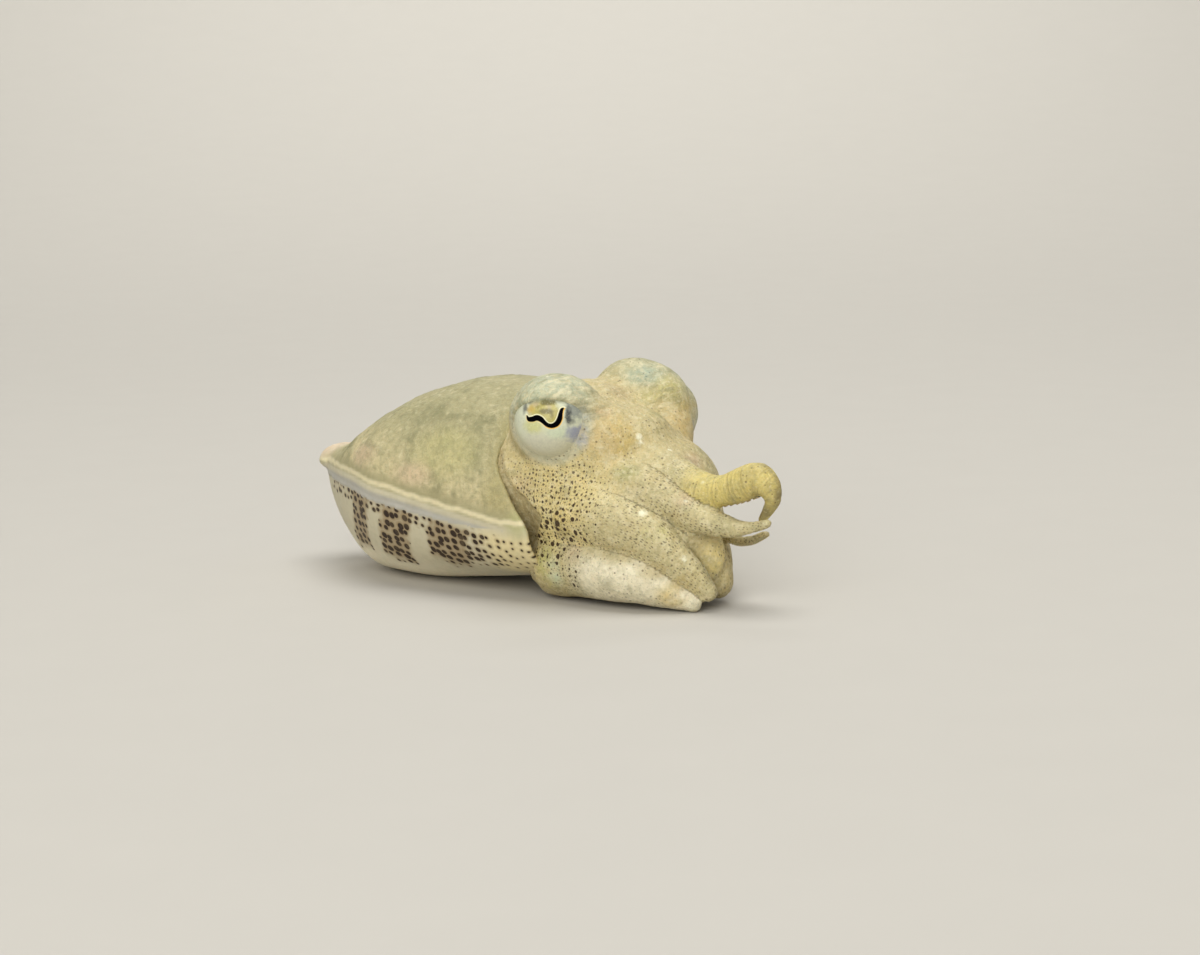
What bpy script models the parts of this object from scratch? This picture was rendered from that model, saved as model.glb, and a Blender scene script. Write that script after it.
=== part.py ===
"""A young common cuttlefish (Sepia officinalis) at life size, resting on its belly and lower arms.

Lengths below are in millimetres, and MM turns them into metres. +X points where the arms point,
+Y is the animal's left and +Z is up. The floor is z = 0. Every place is measured from the middle
of the mantle's front rim, and at the end all pieces move so that the origin lies on the floor
under the middle of the whole animal.
"""

import math

import bmesh
import bpy
from mathutils import Matrix, Vector

MM = 0.001
GAP = 0.3                     # clearance between two pieces that touch on the animal
EXACT_MERGE = 0.00001         # metres

# Mantle: stations along the body, each (x, half width, top, fin line, belly).
MANTLE_STATIONS = (
    (-24.8, 0.6, 8.55, 8.1, 7.4),
    (-23.4, 2.3, 9.0, 8.05, 5.0),
    (-20.5, 4.45, 9.7, 8.2, 1.9),
    (-16.5, 6.5, 12.1, 8.1, -0.15),
    (-12.0, 7.9, 14.0, 7.5, -0.15),
    (-6.0, 8.0, 15.05, 6.6, 0.45),
    (0.0, 7.5, 14.85, 5.6, 1.2),
)
CUP_FLOOR = -3.0              # the opening behind the rim is a cup that ends here
CUP_SHARE = 0.55              # size of the cup's floor, as a share of the rim
TAIL_LIP_CENTRE = (-22.7, 0.0, 8.0)   # a flat soft lip, where the back ends over the tail
TAIL_LIP_RADII = (2.4, 3.2, 1.05)
LIP_SEGMENTS = 16
LIP_RINGS = 8
MANTLE_SIDES = 32
MANTLE_RINGS = 17
RING_SPREAD = 0.62 * math.pi  # rings lie closer together towards the tail
BACK_SQUARENESS = 2.0         # superellipse powers of the upper and the lower half
BELLY_SQUARENESS = 2.55
RIM_SHARE_START = -10.0       # from here forward the sections take on the rim's outline
# The rim's outline: (height from -1 at the belly to 1 on the back, how far forward it reaches).
RIM_OUTLINE = ((-1.0, 0.6), (-0.5, 2.2), (-0.1, 2.2), (0.2, 0.4), (0.5, -1.3), (1.0, 1.3))

# Head: cheeks in front of a narrower neck in the mantle's opening, and an orbit on each side.
HEAD_CENTRE = (3.4, 0.0, 7.6)
HEAD_RADII = (5.6, 6.7, 6.2)
NECK_CENTRE = (-0.2, 0.0, 8.2)
NECK_RADII = (4.2, 6.0, 5.8)
ORBIT_CENTRE = (3.1, 4.6, 12.75)
ORBIT_RADII = (3.8, 3.1, 3.35)
EYE_CENTRES = {"right": (3.8, -5.75, 13.0), "left": (3.8, 5.4, 12.1)}
EYE_RADIUS = 2.7
HEAD_SEGMENTS = 24
HEAD_RINGS = 14

# Funnel: a short flattened tube under the head, between the two lowest arms.
FUNNEL_START = (-1.2, 0.0, 2.3)
FUNNEL_END = (4.6, 0.0, 1.55)
FUNNEL_RADII = (1.7, 1.15)    # at its root and at its mouth
FUNNEL_BORE = 0.75
FUNNEL_BORE_DEPTH = 2.0
FUNNEL_SIDES = 14

# Arms, numbered from the top pair: route stations (x, y, z, radius) from root to tip.
ARM_ROUTES = {
    "arm_right_1": ((6.6, -1.9, 10.3, 1.85), (10.2, -1.8, 9.1, 1.7), (13.0, -1.5, 8.1, 1.4),
                    (14.9, -1.2, 8.1, 1.15), (16.5, -1.0, 8.6, 1.28), (17.7, -0.8, 9.0, 1.25),
                    (18.5, -0.7, 8.6, 0.9), (18.8, -0.6, 7.8, 0.57), (18.3, -0.45, 7.0, 0.42),
                    (17.7, -0.4, 6.3, 0.3)),
    "arm_right_2": ((6.2, -3.9, 8.8, 1.9), (9.8, -3.4, 8.2, 1.7), (12.5, -2.6, 7.0, 1.3),
                    (14.1, -2.3, 6.3, 1.02), (16.4, -1.9, 5.8, 0.66), (17.6, -1.8, 5.9, 0.43),
                    (19.2, -1.7, 6.3, 0.3)),
    "arm_right_3": ((4.8, -4.8, 6.5, 2.2), (8.0, -4.8, 6.1, 2.15), (10.6, -4.3, 5.1, 1.8),
                    (12.3, -3.7, 3.75, 1.4), (13.7, -3.1, 2.45, 1.05), (14.6, -2.6, 1.4, 0.68)),
    "arm_right_4": ((0.8, -3.6, 2.3, 1.92), (3.9, -4.2, 2.5, 2.15), (7.5, -4.5, 2.6, 2.25),
                    (10.0, -4.3, 2.3, 2.0), (11.4, -3.9, 1.75, 1.6), (12.9, -3.5, 1.05, 1.05),
                    (13.7, -3.2, 0.6, 0.65)),
    "arm_left_1": ((6.7, 1.9, 10.3, 1.85), (9.9, 1.9, 8.35, 1.5), (11.1, 1.5, 6.9, 1.1),
                   (12.6, 1.1, 5.5, 0.74), (14.2, 0.8, 4.5, 0.45), (15.7, 0.7, 4.5, 0.35),
                   (17.2, 0.6, 5.1, 0.29)),
    "arm_left_2": ((6.2, 4.1, 8.4, 1.9), (8.9, 3.4, 6.7, 1.63), (11.0, 1.8, 4.8, 1.43),
                   (12.5, 0.5, 3.1, 1.45), (13.2, 0.1, 1.55, 1.2)),
    "arm_left_3": ((4.8, 5.0, 5.9, 2.0), (7.0, 5.0, 4.4, 1.72), (8.9, 4.6, 3.0, 1.42),
                   (10.0, 4.0, 1.7, 1.13), (10.5, 3.4, 0.8, 0.8)),
    "arm_left_4": ((0.8, 3.6, 2.2, 1.8), (3.6, 3.9, 2.1, 1.95), (6.6, 3.8, 1.7, 1.6),
                   (9.0, 3.1, 1.1, 1.15), (11.0, 2.3, 0.5, 0.65)),
}
ARM_BUILD_ORDER = ("arm_right_4", "arm_left_4", "arm_right_3", "arm_left_3",
                   "arm_right_2", "arm_left_2", "arm_right_1", "arm_left_1")
ARM_LENGTHS = ("base", "tip")
CURLED_ARM = "arm_right_1"
CURLED_ARM_LENGTHS = ("base", "middle", "tip")
ARM_RINGS = 6                 # rings in each length of an arm
ARM_SIDE_RESOLUTION = 3       # a curve bevel of this resolution has 10 sides
TIP_ROUNDING = 0.55           # the last ring's radius, as a share of the tip's
TIP_REACH = 0.7               # and how far it lies beyond the tip, in the same terms

# Fins: a narrow soft hem along each side of the mantle.
FIN_START = -24.4
FIN_END = -0.3
FIN_WIDTH = 1.15
FIN_HALF_THICKNESS = 0.3
FIN_DROOP = math.radians(58)
FIN_INSET = 0.1               # how deep the fin's root starts inside the mantle
FIN_RISE = 0.1                # and how far it starts above the fin line
# The fin's width follows a stretch of a sine wave: where that starts and ends, its power and
# the least share of the full width.
FIN_WAVE_START, FIN_WAVE_LENGTH, FIN_WAVE_POWER, FIN_LEAST_SHARE = 0.12, 0.8, 0.6, 0.45
FIN_SIDES = 8
FIN_RINGS = 15

FLOOR_DEPTH = 5.0
FLOOR_SIZE = 100.0

SKIN_ROUGHNESS = 0.5
COLOURS = {
    "mantle": (0.42, 0.38, 0.25), "fin": (0.52, 0.53, 0.47), "head": (0.45, 0.40, 0.27),
    "eye": (0.36, 0.37, 0.33), "funnel": (0.62, 0.60, 0.52), "arm": (0.47, 0.41, 0.26),
}


def remove_all_objects():
    for thing in list(bpy.data.objects):
        bpy.data.objects.remove(thing, do_unlink=True)


def make_collection(name):
    collection = bpy.data.collections.new(name)
    bpy.context.scene.collection.children.link(collection)
    return collection


def make_material(name, colour):
    material = bpy.data.materials.new(name)
    material.use_nodes = True
    shader = material.node_tree.nodes["Principled BSDF"]
    shader.inputs["Base Color"].default_value = (*colour, 1.0)
    shader.inputs["Roughness"].default_value = SKIN_ROUGHNESS
    shader.inputs["Metallic"].default_value = 0.0
    return material


def new_object(name, mesh, collection):
    thing = bpy.data.objects.new(name, mesh)
    collection.objects.link(thing)
    return thing


def finish_bmesh(bm, name, collection):
    """Turns a closed bmesh in millimetres into an object in metres, faces pointing out."""
    bmesh.ops.scale(bm, vec=(MM, MM, MM), verts=bm.verts)
    bmesh.ops.recalc_face_normals(bm, faces=bm.faces)
    mesh = bpy.data.meshes.new(name)
    bm.to_mesh(mesh)
    bm.free()
    mesh.shade_smooth()
    return new_object(name, mesh, collection)


def smooth_value(stations, column, x):
    """The value of one column at x, by a cubic that never overshoots the stations."""
    places = [station[0] for station in stations]
    values = [station[column] for station in stations]
    steps = [b - a for a, b in zip(places, places[1:])]
    rises = [(b - a) / step for a, b, step in zip(values, values[1:], steps)]
    slopes = [rises[0]]
    for before, after, left, right in zip(rises, rises[1:], steps, steps[1:]):
        if before * after <= 0:
            slopes.append(0.0)
        else:
            heavy, light = 2 * right + left, right + 2 * left
            slopes.append((heavy + light) / (heavy / before + light / after))
    slopes.append(rises[-1])
    index = max(i for i in range(len(steps)) if x >= places[i] or i == 0)
    step = steps[index]
    t = (x - places[index]) / step
    return ((1 + 2 * t) * (1 - t) ** 2 * values[index] + t * (1 - t) ** 2 * step * slopes[index]
            + t * t * (3 - 2 * t) * values[index + 1] + t * t * (t - 1) * step * slopes[index + 1])


def signed_power(value, power):
    return math.copysign(abs(value) ** power, value)


def loft(name, sections, collection):
    """A closed body through sections with equal numbers of points."""
    bm = bmesh.new()
    loops = []
    for section in sections:
        circle = bmesh.ops.create_circle(bm, segments=len(section), radius=1.0)["verts"]
        for vertex, point in zip(circle, section):
            vertex.co = point
        loops.append(list({edge for vertex in circle for edge in vertex.link_edges}))
    for first, second in zip(loops, loops[1:]):
        bmesh.ops.bridge_loops(bm, edges=first + second)
    for end in (loops[0], loops[-1]):
        bmesh.ops.edgeloop_fill(bm, edges=end)
    return finish_bmesh(bm, name, collection)


# ---------------------------------------------------------------- forms of the animal's pieces

def mantle_section(x, grow):
    """One ring of the mantle: unlike upper and lower halves, leaning forward on the back."""
    half_width, top, fin_line, belly = (smooth_value(MANTLE_STATIONS, column, x)
                                        for column in (1, 2, 3, 4))
    rim_share = max(0.0, (x - RIM_SHARE_START) / -RIM_SHARE_START) ** 2
    section = []
    for index in range(MANTLE_SIDES):
        angle = 2 * math.pi * index / MANTLE_SIDES
        side, height = math.cos(angle), math.sin(angle)
        power = 2 / (BACK_SQUARENESS if height >= 0 else BELLY_SQUARENESS)
        reach = top - fin_line if height >= 0 else fin_line - belly
        lean = rim_share * smooth_value(RIM_OUTLINE, 1, height)
        section.append((x + lean, (half_width + grow) * signed_power(side, power),
                        fin_line + (reach + grow) * signed_power(height, power)))
    return section


def mantle_form(name, collection, cutters, grow=0.0):
    first, last = MANTLE_STATIONS[0][0], MANTLE_STATIONS[-1][0]
    sections = []
    for ring in range(MANTLE_RINGS):
        share = ring / (MANTLE_RINGS - 1)
        x = first + (last - first) * (1 - math.cos(RING_SPREAD * share)) / (
            1 - math.cos(RING_SPREAD))
        sections.append(mantle_section(x, grow))
    middle_height = HEAD_CENTRE[2]
    sections.append([(CUP_FLOOR, CUP_SHARE * y, middle_height + CUP_SHARE * (z - middle_height))
                     for x, y, z in mantle_section(last, grow)])
    mantle = loft(name, sections, collection)
    lip = ellipsoid(f"{name}_lip", TAIL_LIP_CENTRE, grown(TAIL_LIP_RADII, grow), cutters,
                    LIP_SEGMENTS, LIP_RINGS)
    combine(mantle, lip, "UNION")
    return mantle


def ellipsoid(name, centre, radii, collection, segments=HEAD_SEGMENTS, rings=HEAD_RINGS):
    bm = bmesh.new()
    place = Matrix.Translation(centre) @ Matrix.Diagonal((*radii, 1.0))
    bmesh.ops.create_uvsphere(bm, u_segments=segments, v_segments=rings, radius=1.0,
                              matrix=place)
    return finish_bmesh(bm, name, collection)


def grown(radii, grow):
    return tuple(radius + grow for radius in radii)


def head_form(name, collection, cutters, grow=0.0):
    """The head with both orbits, as one body."""
    head = ellipsoid(name, HEAD_CENTRE, grown(HEAD_RADII, grow), collection)
    neck = ellipsoid(f"{name}_neck", NECK_CENTRE, grown(NECK_RADII, grow), cutters)
    combine(head, neck, "UNION")
    for side, word in ((-1, "right"), (1, "left")):
        centre = (ORBIT_CENTRE[0], side * ORBIT_CENTRE[1], ORBIT_CENTRE[2])
        orbit = ellipsoid(f"{name}_orbit_{word}", centre, grown(ORBIT_RADII, grow), cutters)
        combine(head, orbit, "UNION")
    return head


def eye_form(name, word, collection, grow=0.0):
    radius = EYE_RADIUS + grow
    return ellipsoid(name, EYE_CENTRES[word], (radius, radius, radius), collection)


def funnel_form(name, collection, grow=0.0):
    start, end = Vector(FUNNEL_START), Vector(FUNNEL_END)
    along = end - start
    bm = bmesh.new()
    turn = along.to_track_quat("Z", "Y").to_matrix().to_4x4()
    place = Matrix.Translation((start + end) / 2) @ turn
    bmesh.ops.create_cone(bm, cap_ends=True, segments=FUNNEL_SIDES, matrix=place,
                          radius1=FUNNEL_RADII[0] + grow, radius2=FUNNEL_RADII[1] + grow,
                          depth=along.length + 2 * grow)
    return finish_bmesh(bm, name, collection)


def funnel_bore(name, collection):
    start, end = Vector(FUNNEL_START), Vector(FUNNEL_END)
    along = (end - start).normalized()
    bm = bmesh.new()
    turn = along.to_track_quat("Z", "Y").to_matrix().to_4x4()
    bmesh.ops.create_cone(bm, cap_ends=True, segments=FUNNEL_SIDES,
                          matrix=Matrix.Translation(end) @ turn, radius1=FUNNEL_BORE,
                          radius2=FUNNEL_BORE, depth=2 * FUNNEL_BORE_DEPTH)
    return finish_bmesh(bm, name, collection)


def route_point(route, share):
    """A point (x, y, z, radius) on the smooth curve through an arm's stations."""
    knots = [0.0]
    for a, b in zip(route, route[1:]):
        knots.append(knots[-1] + math.dist(a[:3], b[:3]))
    place = share * knots[-1]
    index = max(i for i in range(len(route) - 1) if place >= knots[i])
    last = len(route) - 1

    def slope(i, k):
        low, high = max(i - 1, 0), min(i + 1, last)
        return (route[high][k] - route[low][k]) / (knots[high] - knots[low])

    step = knots[index + 1] - knots[index]
    t = (place - knots[index]) / step
    return [(1 + 2 * t) * (1 - t) ** 2 * route[index][k]
            + t * (1 - t) ** 2 * step * slope(index, k)
            + t * t * (3 - 2 * t) * route[index + 1][k]
            + t * t * (t - 1) * step * slope(index + 1, k) for k in range(4)]


def route_length(route):
    return sum(math.dist(a[:3], b[:3]) for a, b in zip(route, route[1:]))


def arm_form(name, route, start, end, collection, grow=0.0):
    """A tapered tube along part of an arm's route, as a mesh with welded caps."""
    curve = bpy.data.curves.new(name, "CURVE")
    curve.dimensions = "3D"
    curve.bevel_depth = MM
    curve.bevel_resolution = ARM_SIDE_RESOLUTION
    curve.use_fill_caps = True
    shares = [start + (end - start) * ring / (ARM_RINGS - 1) for ring in range(ARM_RINGS)]
    points = [route_point(route, share) for share in shares]
    if end == 1.0:
        before, tip = Vector(points[-2][:3]), Vector(points[-1][:3])
        out = (tip - before).normalized() * points[-1][3] * TIP_REACH
        points.append([*(tip + out), points[-1][3] * TIP_ROUNDING])
    spline = curve.splines.new("POLY")
    spline.points.add(len(points) - 1)
    for knot, (x, y, z, radius) in zip(spline.points, points):
        knot.co = (x * MM, y * MM, z * MM, 1.0)
        knot.radius = radius + grow
    wire = new_object(name + "_route", curve, collection)
    bpy.context.view_layer.update()
    depsgraph = bpy.context.evaluated_depsgraph_get()
    mesh = bpy.data.meshes.new_from_object(wire.evaluated_get(depsgraph))
    mesh.name = name
    bpy.data.objects.remove(wire, do_unlink=True)
    bm = bmesh.new()
    bm.from_mesh(mesh)
    bmesh.ops.remove_doubles(bm, verts=bm.verts, dist=EXACT_MERGE)
    bmesh.ops.recalc_face_normals(bm, faces=bm.faces)
    bm.to_mesh(mesh)
    bm.free()
    mesh.materials.clear()
    mesh.shade_smooth()
    return new_object(name, mesh, collection)


def fin_section(x, side):
    """One ring of a fin: a flat oval, hanging out and down from the mantle's fin line."""
    share = (x - FIN_START) / (FIN_END - FIN_START)
    wave = math.sin(math.pi * (FIN_WAVE_START + FIN_WAVE_LENGTH * share))
    width = FIN_WIDTH * max(FIN_LEAST_SHARE, wave ** FIN_WAVE_POWER)
    root = Vector((x, smooth_value(MANTLE_STATIONS, 1, x) - FIN_INSET,
                   smooth_value(MANTLE_STATIONS, 3, x) + FIN_RISE))
    out = Vector((0.0, math.cos(FIN_DROOP), -math.sin(FIN_DROOP)))
    across = Vector((0.0, math.sin(FIN_DROOP), math.cos(FIN_DROOP)))
    centre = root + out * width / 2
    section = []
    for index in range(FIN_SIDES):
        angle = 2 * math.pi * index / FIN_SIDES
        point = (centre + out * (width / 2 * math.cos(angle))
                 + across * (FIN_HALF_THICKNESS * math.sin(angle)))
        section.append((point.x, side * point.y, point.z))
    return section


def fin_form(name, side, collection):
    sections = [fin_section(FIN_START + (FIN_END - FIN_START) * ring / (FIN_RINGS - 1), side)
                for ring in range(FIN_RINGS)]
    return loft(name, sections, collection)


def floor_form(name, collection):
    bm = bmesh.new()
    place = (Matrix.Translation((0, 0, -FLOOR_DEPTH / 2))
             @ Matrix.Diagonal((FLOOR_SIZE, FLOOR_SIZE, FLOOR_DEPTH, 1.0)))
    bmesh.ops.create_cube(bm, size=1.0, matrix=place)
    return finish_bmesh(bm, name, collection)


# ---------------------------------------------------------------- cutting and assembly

def combine(target, other, operation):
    """Applies an exact Boolean to the target at once, and tidies the result."""
    modifier = target.modifiers.new("cut", "BOOLEAN")
    modifier.operation = operation
    modifier.solver = "EXACT"
    modifier.object = other
    bpy.context.view_layer.update()
    depsgraph = bpy.context.evaluated_depsgraph_get()
    mesh = bpy.data.meshes.new_from_object(target.evaluated_get(depsgraph))
    target.modifiers.clear()
    target.data = mesh
    bm = bmesh.new()
    bm.from_mesh(mesh)
    bmesh.ops.remove_doubles(bm, verts=bm.verts, dist=EXACT_MERGE)
    bm.to_mesh(mesh)
    bm.free()


def boxes_meet(first, second):
    low = [min(vertex.co[k] for vertex in first.data.vertices) for k in range(3)]
    high = [max(vertex.co[k] for vertex in first.data.vertices) for k in range(3)]
    other_low = [min(vertex.co[k] for vertex in second.data.vertices) for k in range(3)]
    other_high = [max(vertex.co[k] for vertex in second.data.vertices) for k in range(3)]
    return all(low[k] < other_high[k] and other_low[k] < high[k] for k in range(3))


def cut_by(target, cutters):
    for cutter in cutters:
        if boxes_meet(target, cutter):
            combine(target, cutter, "DIFFERENCE")


def build():
    remove_all_objects()
    parts = make_collection("common_cuttlefish")
    cutters = make_collection("cutters")
    skins = {name: make_material(f"{name}_skin", colour) for name, colour in COLOURS.items()}

    floor = floor_form("cut_floor", cutters)
    eye_cutters = []
    pieces = []
    for word in EYE_CENTRES:
        eye = eye_form(f"eye_{word}", word, parts)
        eye.data.materials.append(skins["eye"])
        pieces.append(eye)
        eye_cutters.append(eye_form(f"cut_eye_{word}", word, cutters, GAP))

    head = head_form("head", parts, cutters)
    cut_by(head, eye_cutters)
    head_cutter = head_form("cut_head", cutters, cutters, GAP)
    head.data.materials.clear()
    head.data.materials.append(skins["head"])
    pieces.append(head)

    arm_cutters = []
    for arm in ARM_BUILD_ORDER:
        route = ARM_ROUTES[arm]
        lengths = CURLED_ARM_LENGTHS if arm == CURLED_ARM else ARM_LENGTHS
        half_gap = GAP / 2 / route_length(route)
        for number, word in enumerate(lengths):
            start = number / len(lengths) + (half_gap if number else 0.0)
            end = (number + 1) / len(lengths) - (half_gap if number < len(lengths) - 1 else 0.0)
            piece = arm_form(f"{arm}_{word}", route, start, end, parts)
            cut_by(piece, [head_cutter, *eye_cutters, *arm_cutters, floor])
            piece.data.materials.clear()
            piece.data.materials.append(skins["arm"])
            pieces.append(piece)
        arm_cutters.append(arm_form(f"cut_{arm}", route, 0.0, 1.0, cutters, GAP))

    funnel = funnel_form("funnel", parts)
    bore = funnel_bore("cut_funnel_bore", cutters)
    cut_by(funnel, [bore, head_cutter, *arm_cutters, floor])
    funnel.data.materials.clear()
    funnel.data.materials.append(skins["funnel"])
    pieces.append(funnel)
    funnel_cutter = funnel_form("cut_funnel", cutters, GAP)

    mantle = mantle_form("mantle", parts, cutters)
    cut_by(mantle, [head_cutter, funnel_cutter, *eye_cutters, *arm_cutters, floor])
    mantle.data.materials.clear()
    mantle.data.materials.append(skins["mantle"])
    pieces.append(mantle)

    mantle_cutter = mantle_form("cut_mantle", cutters, cutters, GAP)
    for side, word in ((-1, "right"), (1, "left")):
        fin = fin_form(f"fin_{word}", side, parts)
        cut_by(fin, [mantle_cutter])
        fin.data.materials.clear()
        fin.data.materials.append(skins["fin"])
        pieces.append(fin)

    for cutter in cutters.objects:
        cutter.hide_render = True
        cutter.display_type = "WIRE"
    centre_on_floor(pieces)


def centre_on_floor(pieces):
    """Moves every piece so that the origin is on the floor under the middle of the animal."""
    xs = [vertex.co.x for piece in pieces for vertex in piece.data.vertices]
    ys = [vertex.co.y for piece in pieces for vertex in piece.data.vertices]
    shift = Matrix.Translation((-(min(xs) + max(xs)) / 2, -(min(ys) + max(ys)) / 2, 0.0))
    for piece in pieces:
        piece.data.transform(shift)


build()
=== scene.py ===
# %% [markdown]
# # A young common cuttlefish, life size
#
# This lesson builds the looks of a small resting cuttlefish around a ready frame of plain solids.
# The frame says where the mantle, the fins, the head, the eyes and each arm are. The skin that is
# made here replaces those solids, and the eyes are built again with a real iris and pupil.
#
# Everything is modelled in millimetres, because Blender's remesher and smoothing behave well on
# objects of tens of units, and each finished piece is turned into metres at the end.

# %% Load the frame
import math
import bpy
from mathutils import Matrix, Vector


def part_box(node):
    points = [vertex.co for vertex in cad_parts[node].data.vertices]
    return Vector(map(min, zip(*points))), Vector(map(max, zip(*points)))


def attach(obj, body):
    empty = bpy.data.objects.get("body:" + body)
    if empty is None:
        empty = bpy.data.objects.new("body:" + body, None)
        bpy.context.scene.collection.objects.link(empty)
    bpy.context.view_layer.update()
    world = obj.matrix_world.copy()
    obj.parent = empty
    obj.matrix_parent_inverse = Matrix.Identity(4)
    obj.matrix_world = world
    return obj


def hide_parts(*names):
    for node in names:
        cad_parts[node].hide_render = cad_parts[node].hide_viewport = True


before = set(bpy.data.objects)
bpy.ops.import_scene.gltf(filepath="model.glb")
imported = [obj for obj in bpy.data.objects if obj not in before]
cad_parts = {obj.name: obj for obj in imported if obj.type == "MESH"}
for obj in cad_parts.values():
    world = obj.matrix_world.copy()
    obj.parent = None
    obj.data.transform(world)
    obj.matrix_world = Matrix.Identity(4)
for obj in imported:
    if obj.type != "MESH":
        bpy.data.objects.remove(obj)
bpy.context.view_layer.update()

from types import SimpleNamespace

import bmesh
import bpy
import numpy as np
from mathutils import Matrix, Vector, noise

MM = 0.001
print("nodes:", len(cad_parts))

# %% [markdown]
# ## Where lengths are counted from
#
# A cuttlefish is measured along its mantle, from the tail to the rim behind the head. So every
# place in this lesson is counted from the middle of that rim, in millimetres: x forwards, y to the
# animal's left and z up from the floor. The tail's end tells where the rim lies in the frame.

# %% Place of the rim
TAIL_LIP_CENTRE, TAIL_LIP_RADII = (-22.7, 0.0, 8.0), (2.4, 3.2, 1.05)
TAIL_END = TAIL_LIP_CENTRE[0] - TAIL_LIP_RADII[0]
rim_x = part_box("mantle")[0][0] / MM - TAIL_END
print("rim lies at x =", round(rim_x, 3), "mm")

# %% [markdown]
# ## The camera
#
# The camera stands low beside the animal's right cheek, so the head comes first and the mantle runs
# away to the left. It is aimed from a few driving values: a bearing, a height, a distance and a
# slight roll, all around a pivot in the middle of the mantle's rim.

# %% Camera
FRAME_WIDTH, FRAME_HEIGHT = 1200, 955
BEARING = math.radians(42)
CAMERA_HEIGHT = math.radians(8)
ROLL = math.radians(2)
DISTANCE = 190.0
FOCAL_PIXELS = 2640.0
PIVOT = Vector((0.0, 0.0, 7.0))
PIVOT_PIXEL = (572.0, 490.0)
SENSOR = 36.0
CLIP_START = 0.005


def to_world(point):
    """A place in millimetres from the rim, as metres in the frame."""
    return Vector(((point[0] + rim_x) * MM, point[1] * MM, point[2] * MM))


def camera_axes():
    back = Vector((math.sin(BEARING) * math.cos(CAMERA_HEIGHT),
                   -math.cos(BEARING) * math.cos(CAMERA_HEIGHT), math.sin(CAMERA_HEIGHT)))
    level = Vector((math.cos(BEARING), math.sin(BEARING), 0.0))
    upright = back.cross(level)
    right = level * math.cos(ROLL) - upright * math.sin(ROLL)
    up = upright * math.cos(ROLL) + level * math.sin(ROLL)
    return right, up, back


def make_camera():
    right, up, back = camera_axes()
    pixel = DISTANCE / FOCAL_PIXELS
    aim = (PIVOT + right * ((FRAME_WIDTH / 2 - PIVOT_PIXEL[0]) * pixel)
           - up * ((FRAME_HEIGHT / 2 - PIVOT_PIXEL[1]) * pixel))
    lens = bpy.data.cameras.new("camera")
    lens.sensor_width = SENSOR
    lens.lens = SENSOR * FOCAL_PIXELS / FRAME_WIDTH
    lens.clip_start = CLIP_START
    camera = bpy.data.objects.new("camera", lens)
    bpy.context.scene.collection.objects.link(camera)
    turn = Matrix((right, up, back)).transposed().to_4x4()
    camera.matrix_world = Matrix.Translation(to_world(aim + back * DISTANCE)) @ turn
    bpy.context.scene.camera = camera


make_camera()
print("camera:", round(bpy.context.scene.camera.data.lens, 1), "mm lens,", DISTANCE, "mm away")

# %% [markdown]
# ## Values that change smoothly
#
# Soft animals have no straight edges. A section changes along the body by a smooth cubic through a
# few stations, which never bulges past them, and every marking fades in by a soft step.

# %% Smooth values
def cubic(t, step, start, end, start_slope, end_slope):
    """A smooth cubic from start to end that has the given slopes there."""
    return ((1 + 2 * t) * (1 - t) ** 2 * start + t * (1 - t) ** 2 * step * start_slope
            + t * t * (3 - 2 * t) * end + t * t * (t - 1) * step * end_slope)


def smooth_value(stations, column, places):
    """One column of the stations at one or many places, by a cubic that never overshoots."""
    table = np.array(stations, float)
    xs, ys = table[:, 0], table[:, column]
    steps = np.diff(xs)
    rises = np.diff(ys) / steps
    slopes = np.empty_like(xs)
    slopes[0], slopes[-1] = rises[0], rises[-1]
    for i in range(1, len(xs) - 1):
        before, after = rises[i - 1], rises[i]
        if before * after <= 0:
            slopes[i] = 0.0
        else:
            heavy, light = 2 * steps[i] + steps[i - 1], steps[i] + 2 * steps[i - 1]
            slopes[i] = (heavy + light) / (heavy / before + light / after)
    places = np.clip(np.asarray(places, float), xs[0], xs[-1])
    index = np.clip(np.searchsorted(xs, places) - 1, 0, len(xs) - 2)
    step = steps[index]
    t = (places - xs[index]) / step
    return cubic(t, step, ys[index], ys[index + 1], slopes[index], slopes[index + 1])


def step_between(low, high, values):
    """Zero below low, one above high and a soft step in between."""
    t = np.clip((np.asarray(values, float) - low) / (high - low), 0.0, 1.0)
    return t * t * (3 - 2 * t)


def bump_between(low, high, soft, values):
    """One between low and high, fading to zero over the soft width on both sides."""
    return step_between(low - soft, low + soft, values) * (
        1 - step_between(high - soft, high + soft, values))


# %% [markdown]
# ## Lofts, ellipsoids and melting
#
# Most pieces here are lofts: rings made with a circle operator, moved onto a section of the body
# and joined with bridge_loops. Round masses are stretched spheres. Bodies that overlap are melted
# into one skin by a voxel remesh, as clay is pressed together, and smoothed a little. That leaves
# a soft fillet where two forms meet, which is hard to get by joining edges by hand.

# %% Modelling helpers
SMOOTHING_FACTOR = 0.5


def add_loft(bm, rings):
    """Adds a closed body through rings of points to a bmesh."""
    loops = []
    for ring in rings:
        circle = bmesh.ops.create_circle(bm, segments=len(ring), radius=1.0)["verts"]
        for vertex, point in zip(circle, ring):
            vertex.co = point
        loops.append(list({edge for vertex in circle for edge in vertex.link_edges}))
    for first, second in zip(loops, loops[1:]):
        bmesh.ops.bridge_loops(bm, edges=first + second)
    for end in (loops[0], loops[-1]):
        bmesh.ops.edgeloop_fill(bm, edges=end)


def add_ellipsoid(bm, centre, radii, segments=48, rings=24):
    place = Matrix.Translation(centre) @ Matrix.Diagonal((*radii, 1.0))
    return bmesh.ops.create_uvsphere(bm, u_segments=segments, v_segments=rings, radius=1.0,
                                     matrix=place)["verts"]


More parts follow.
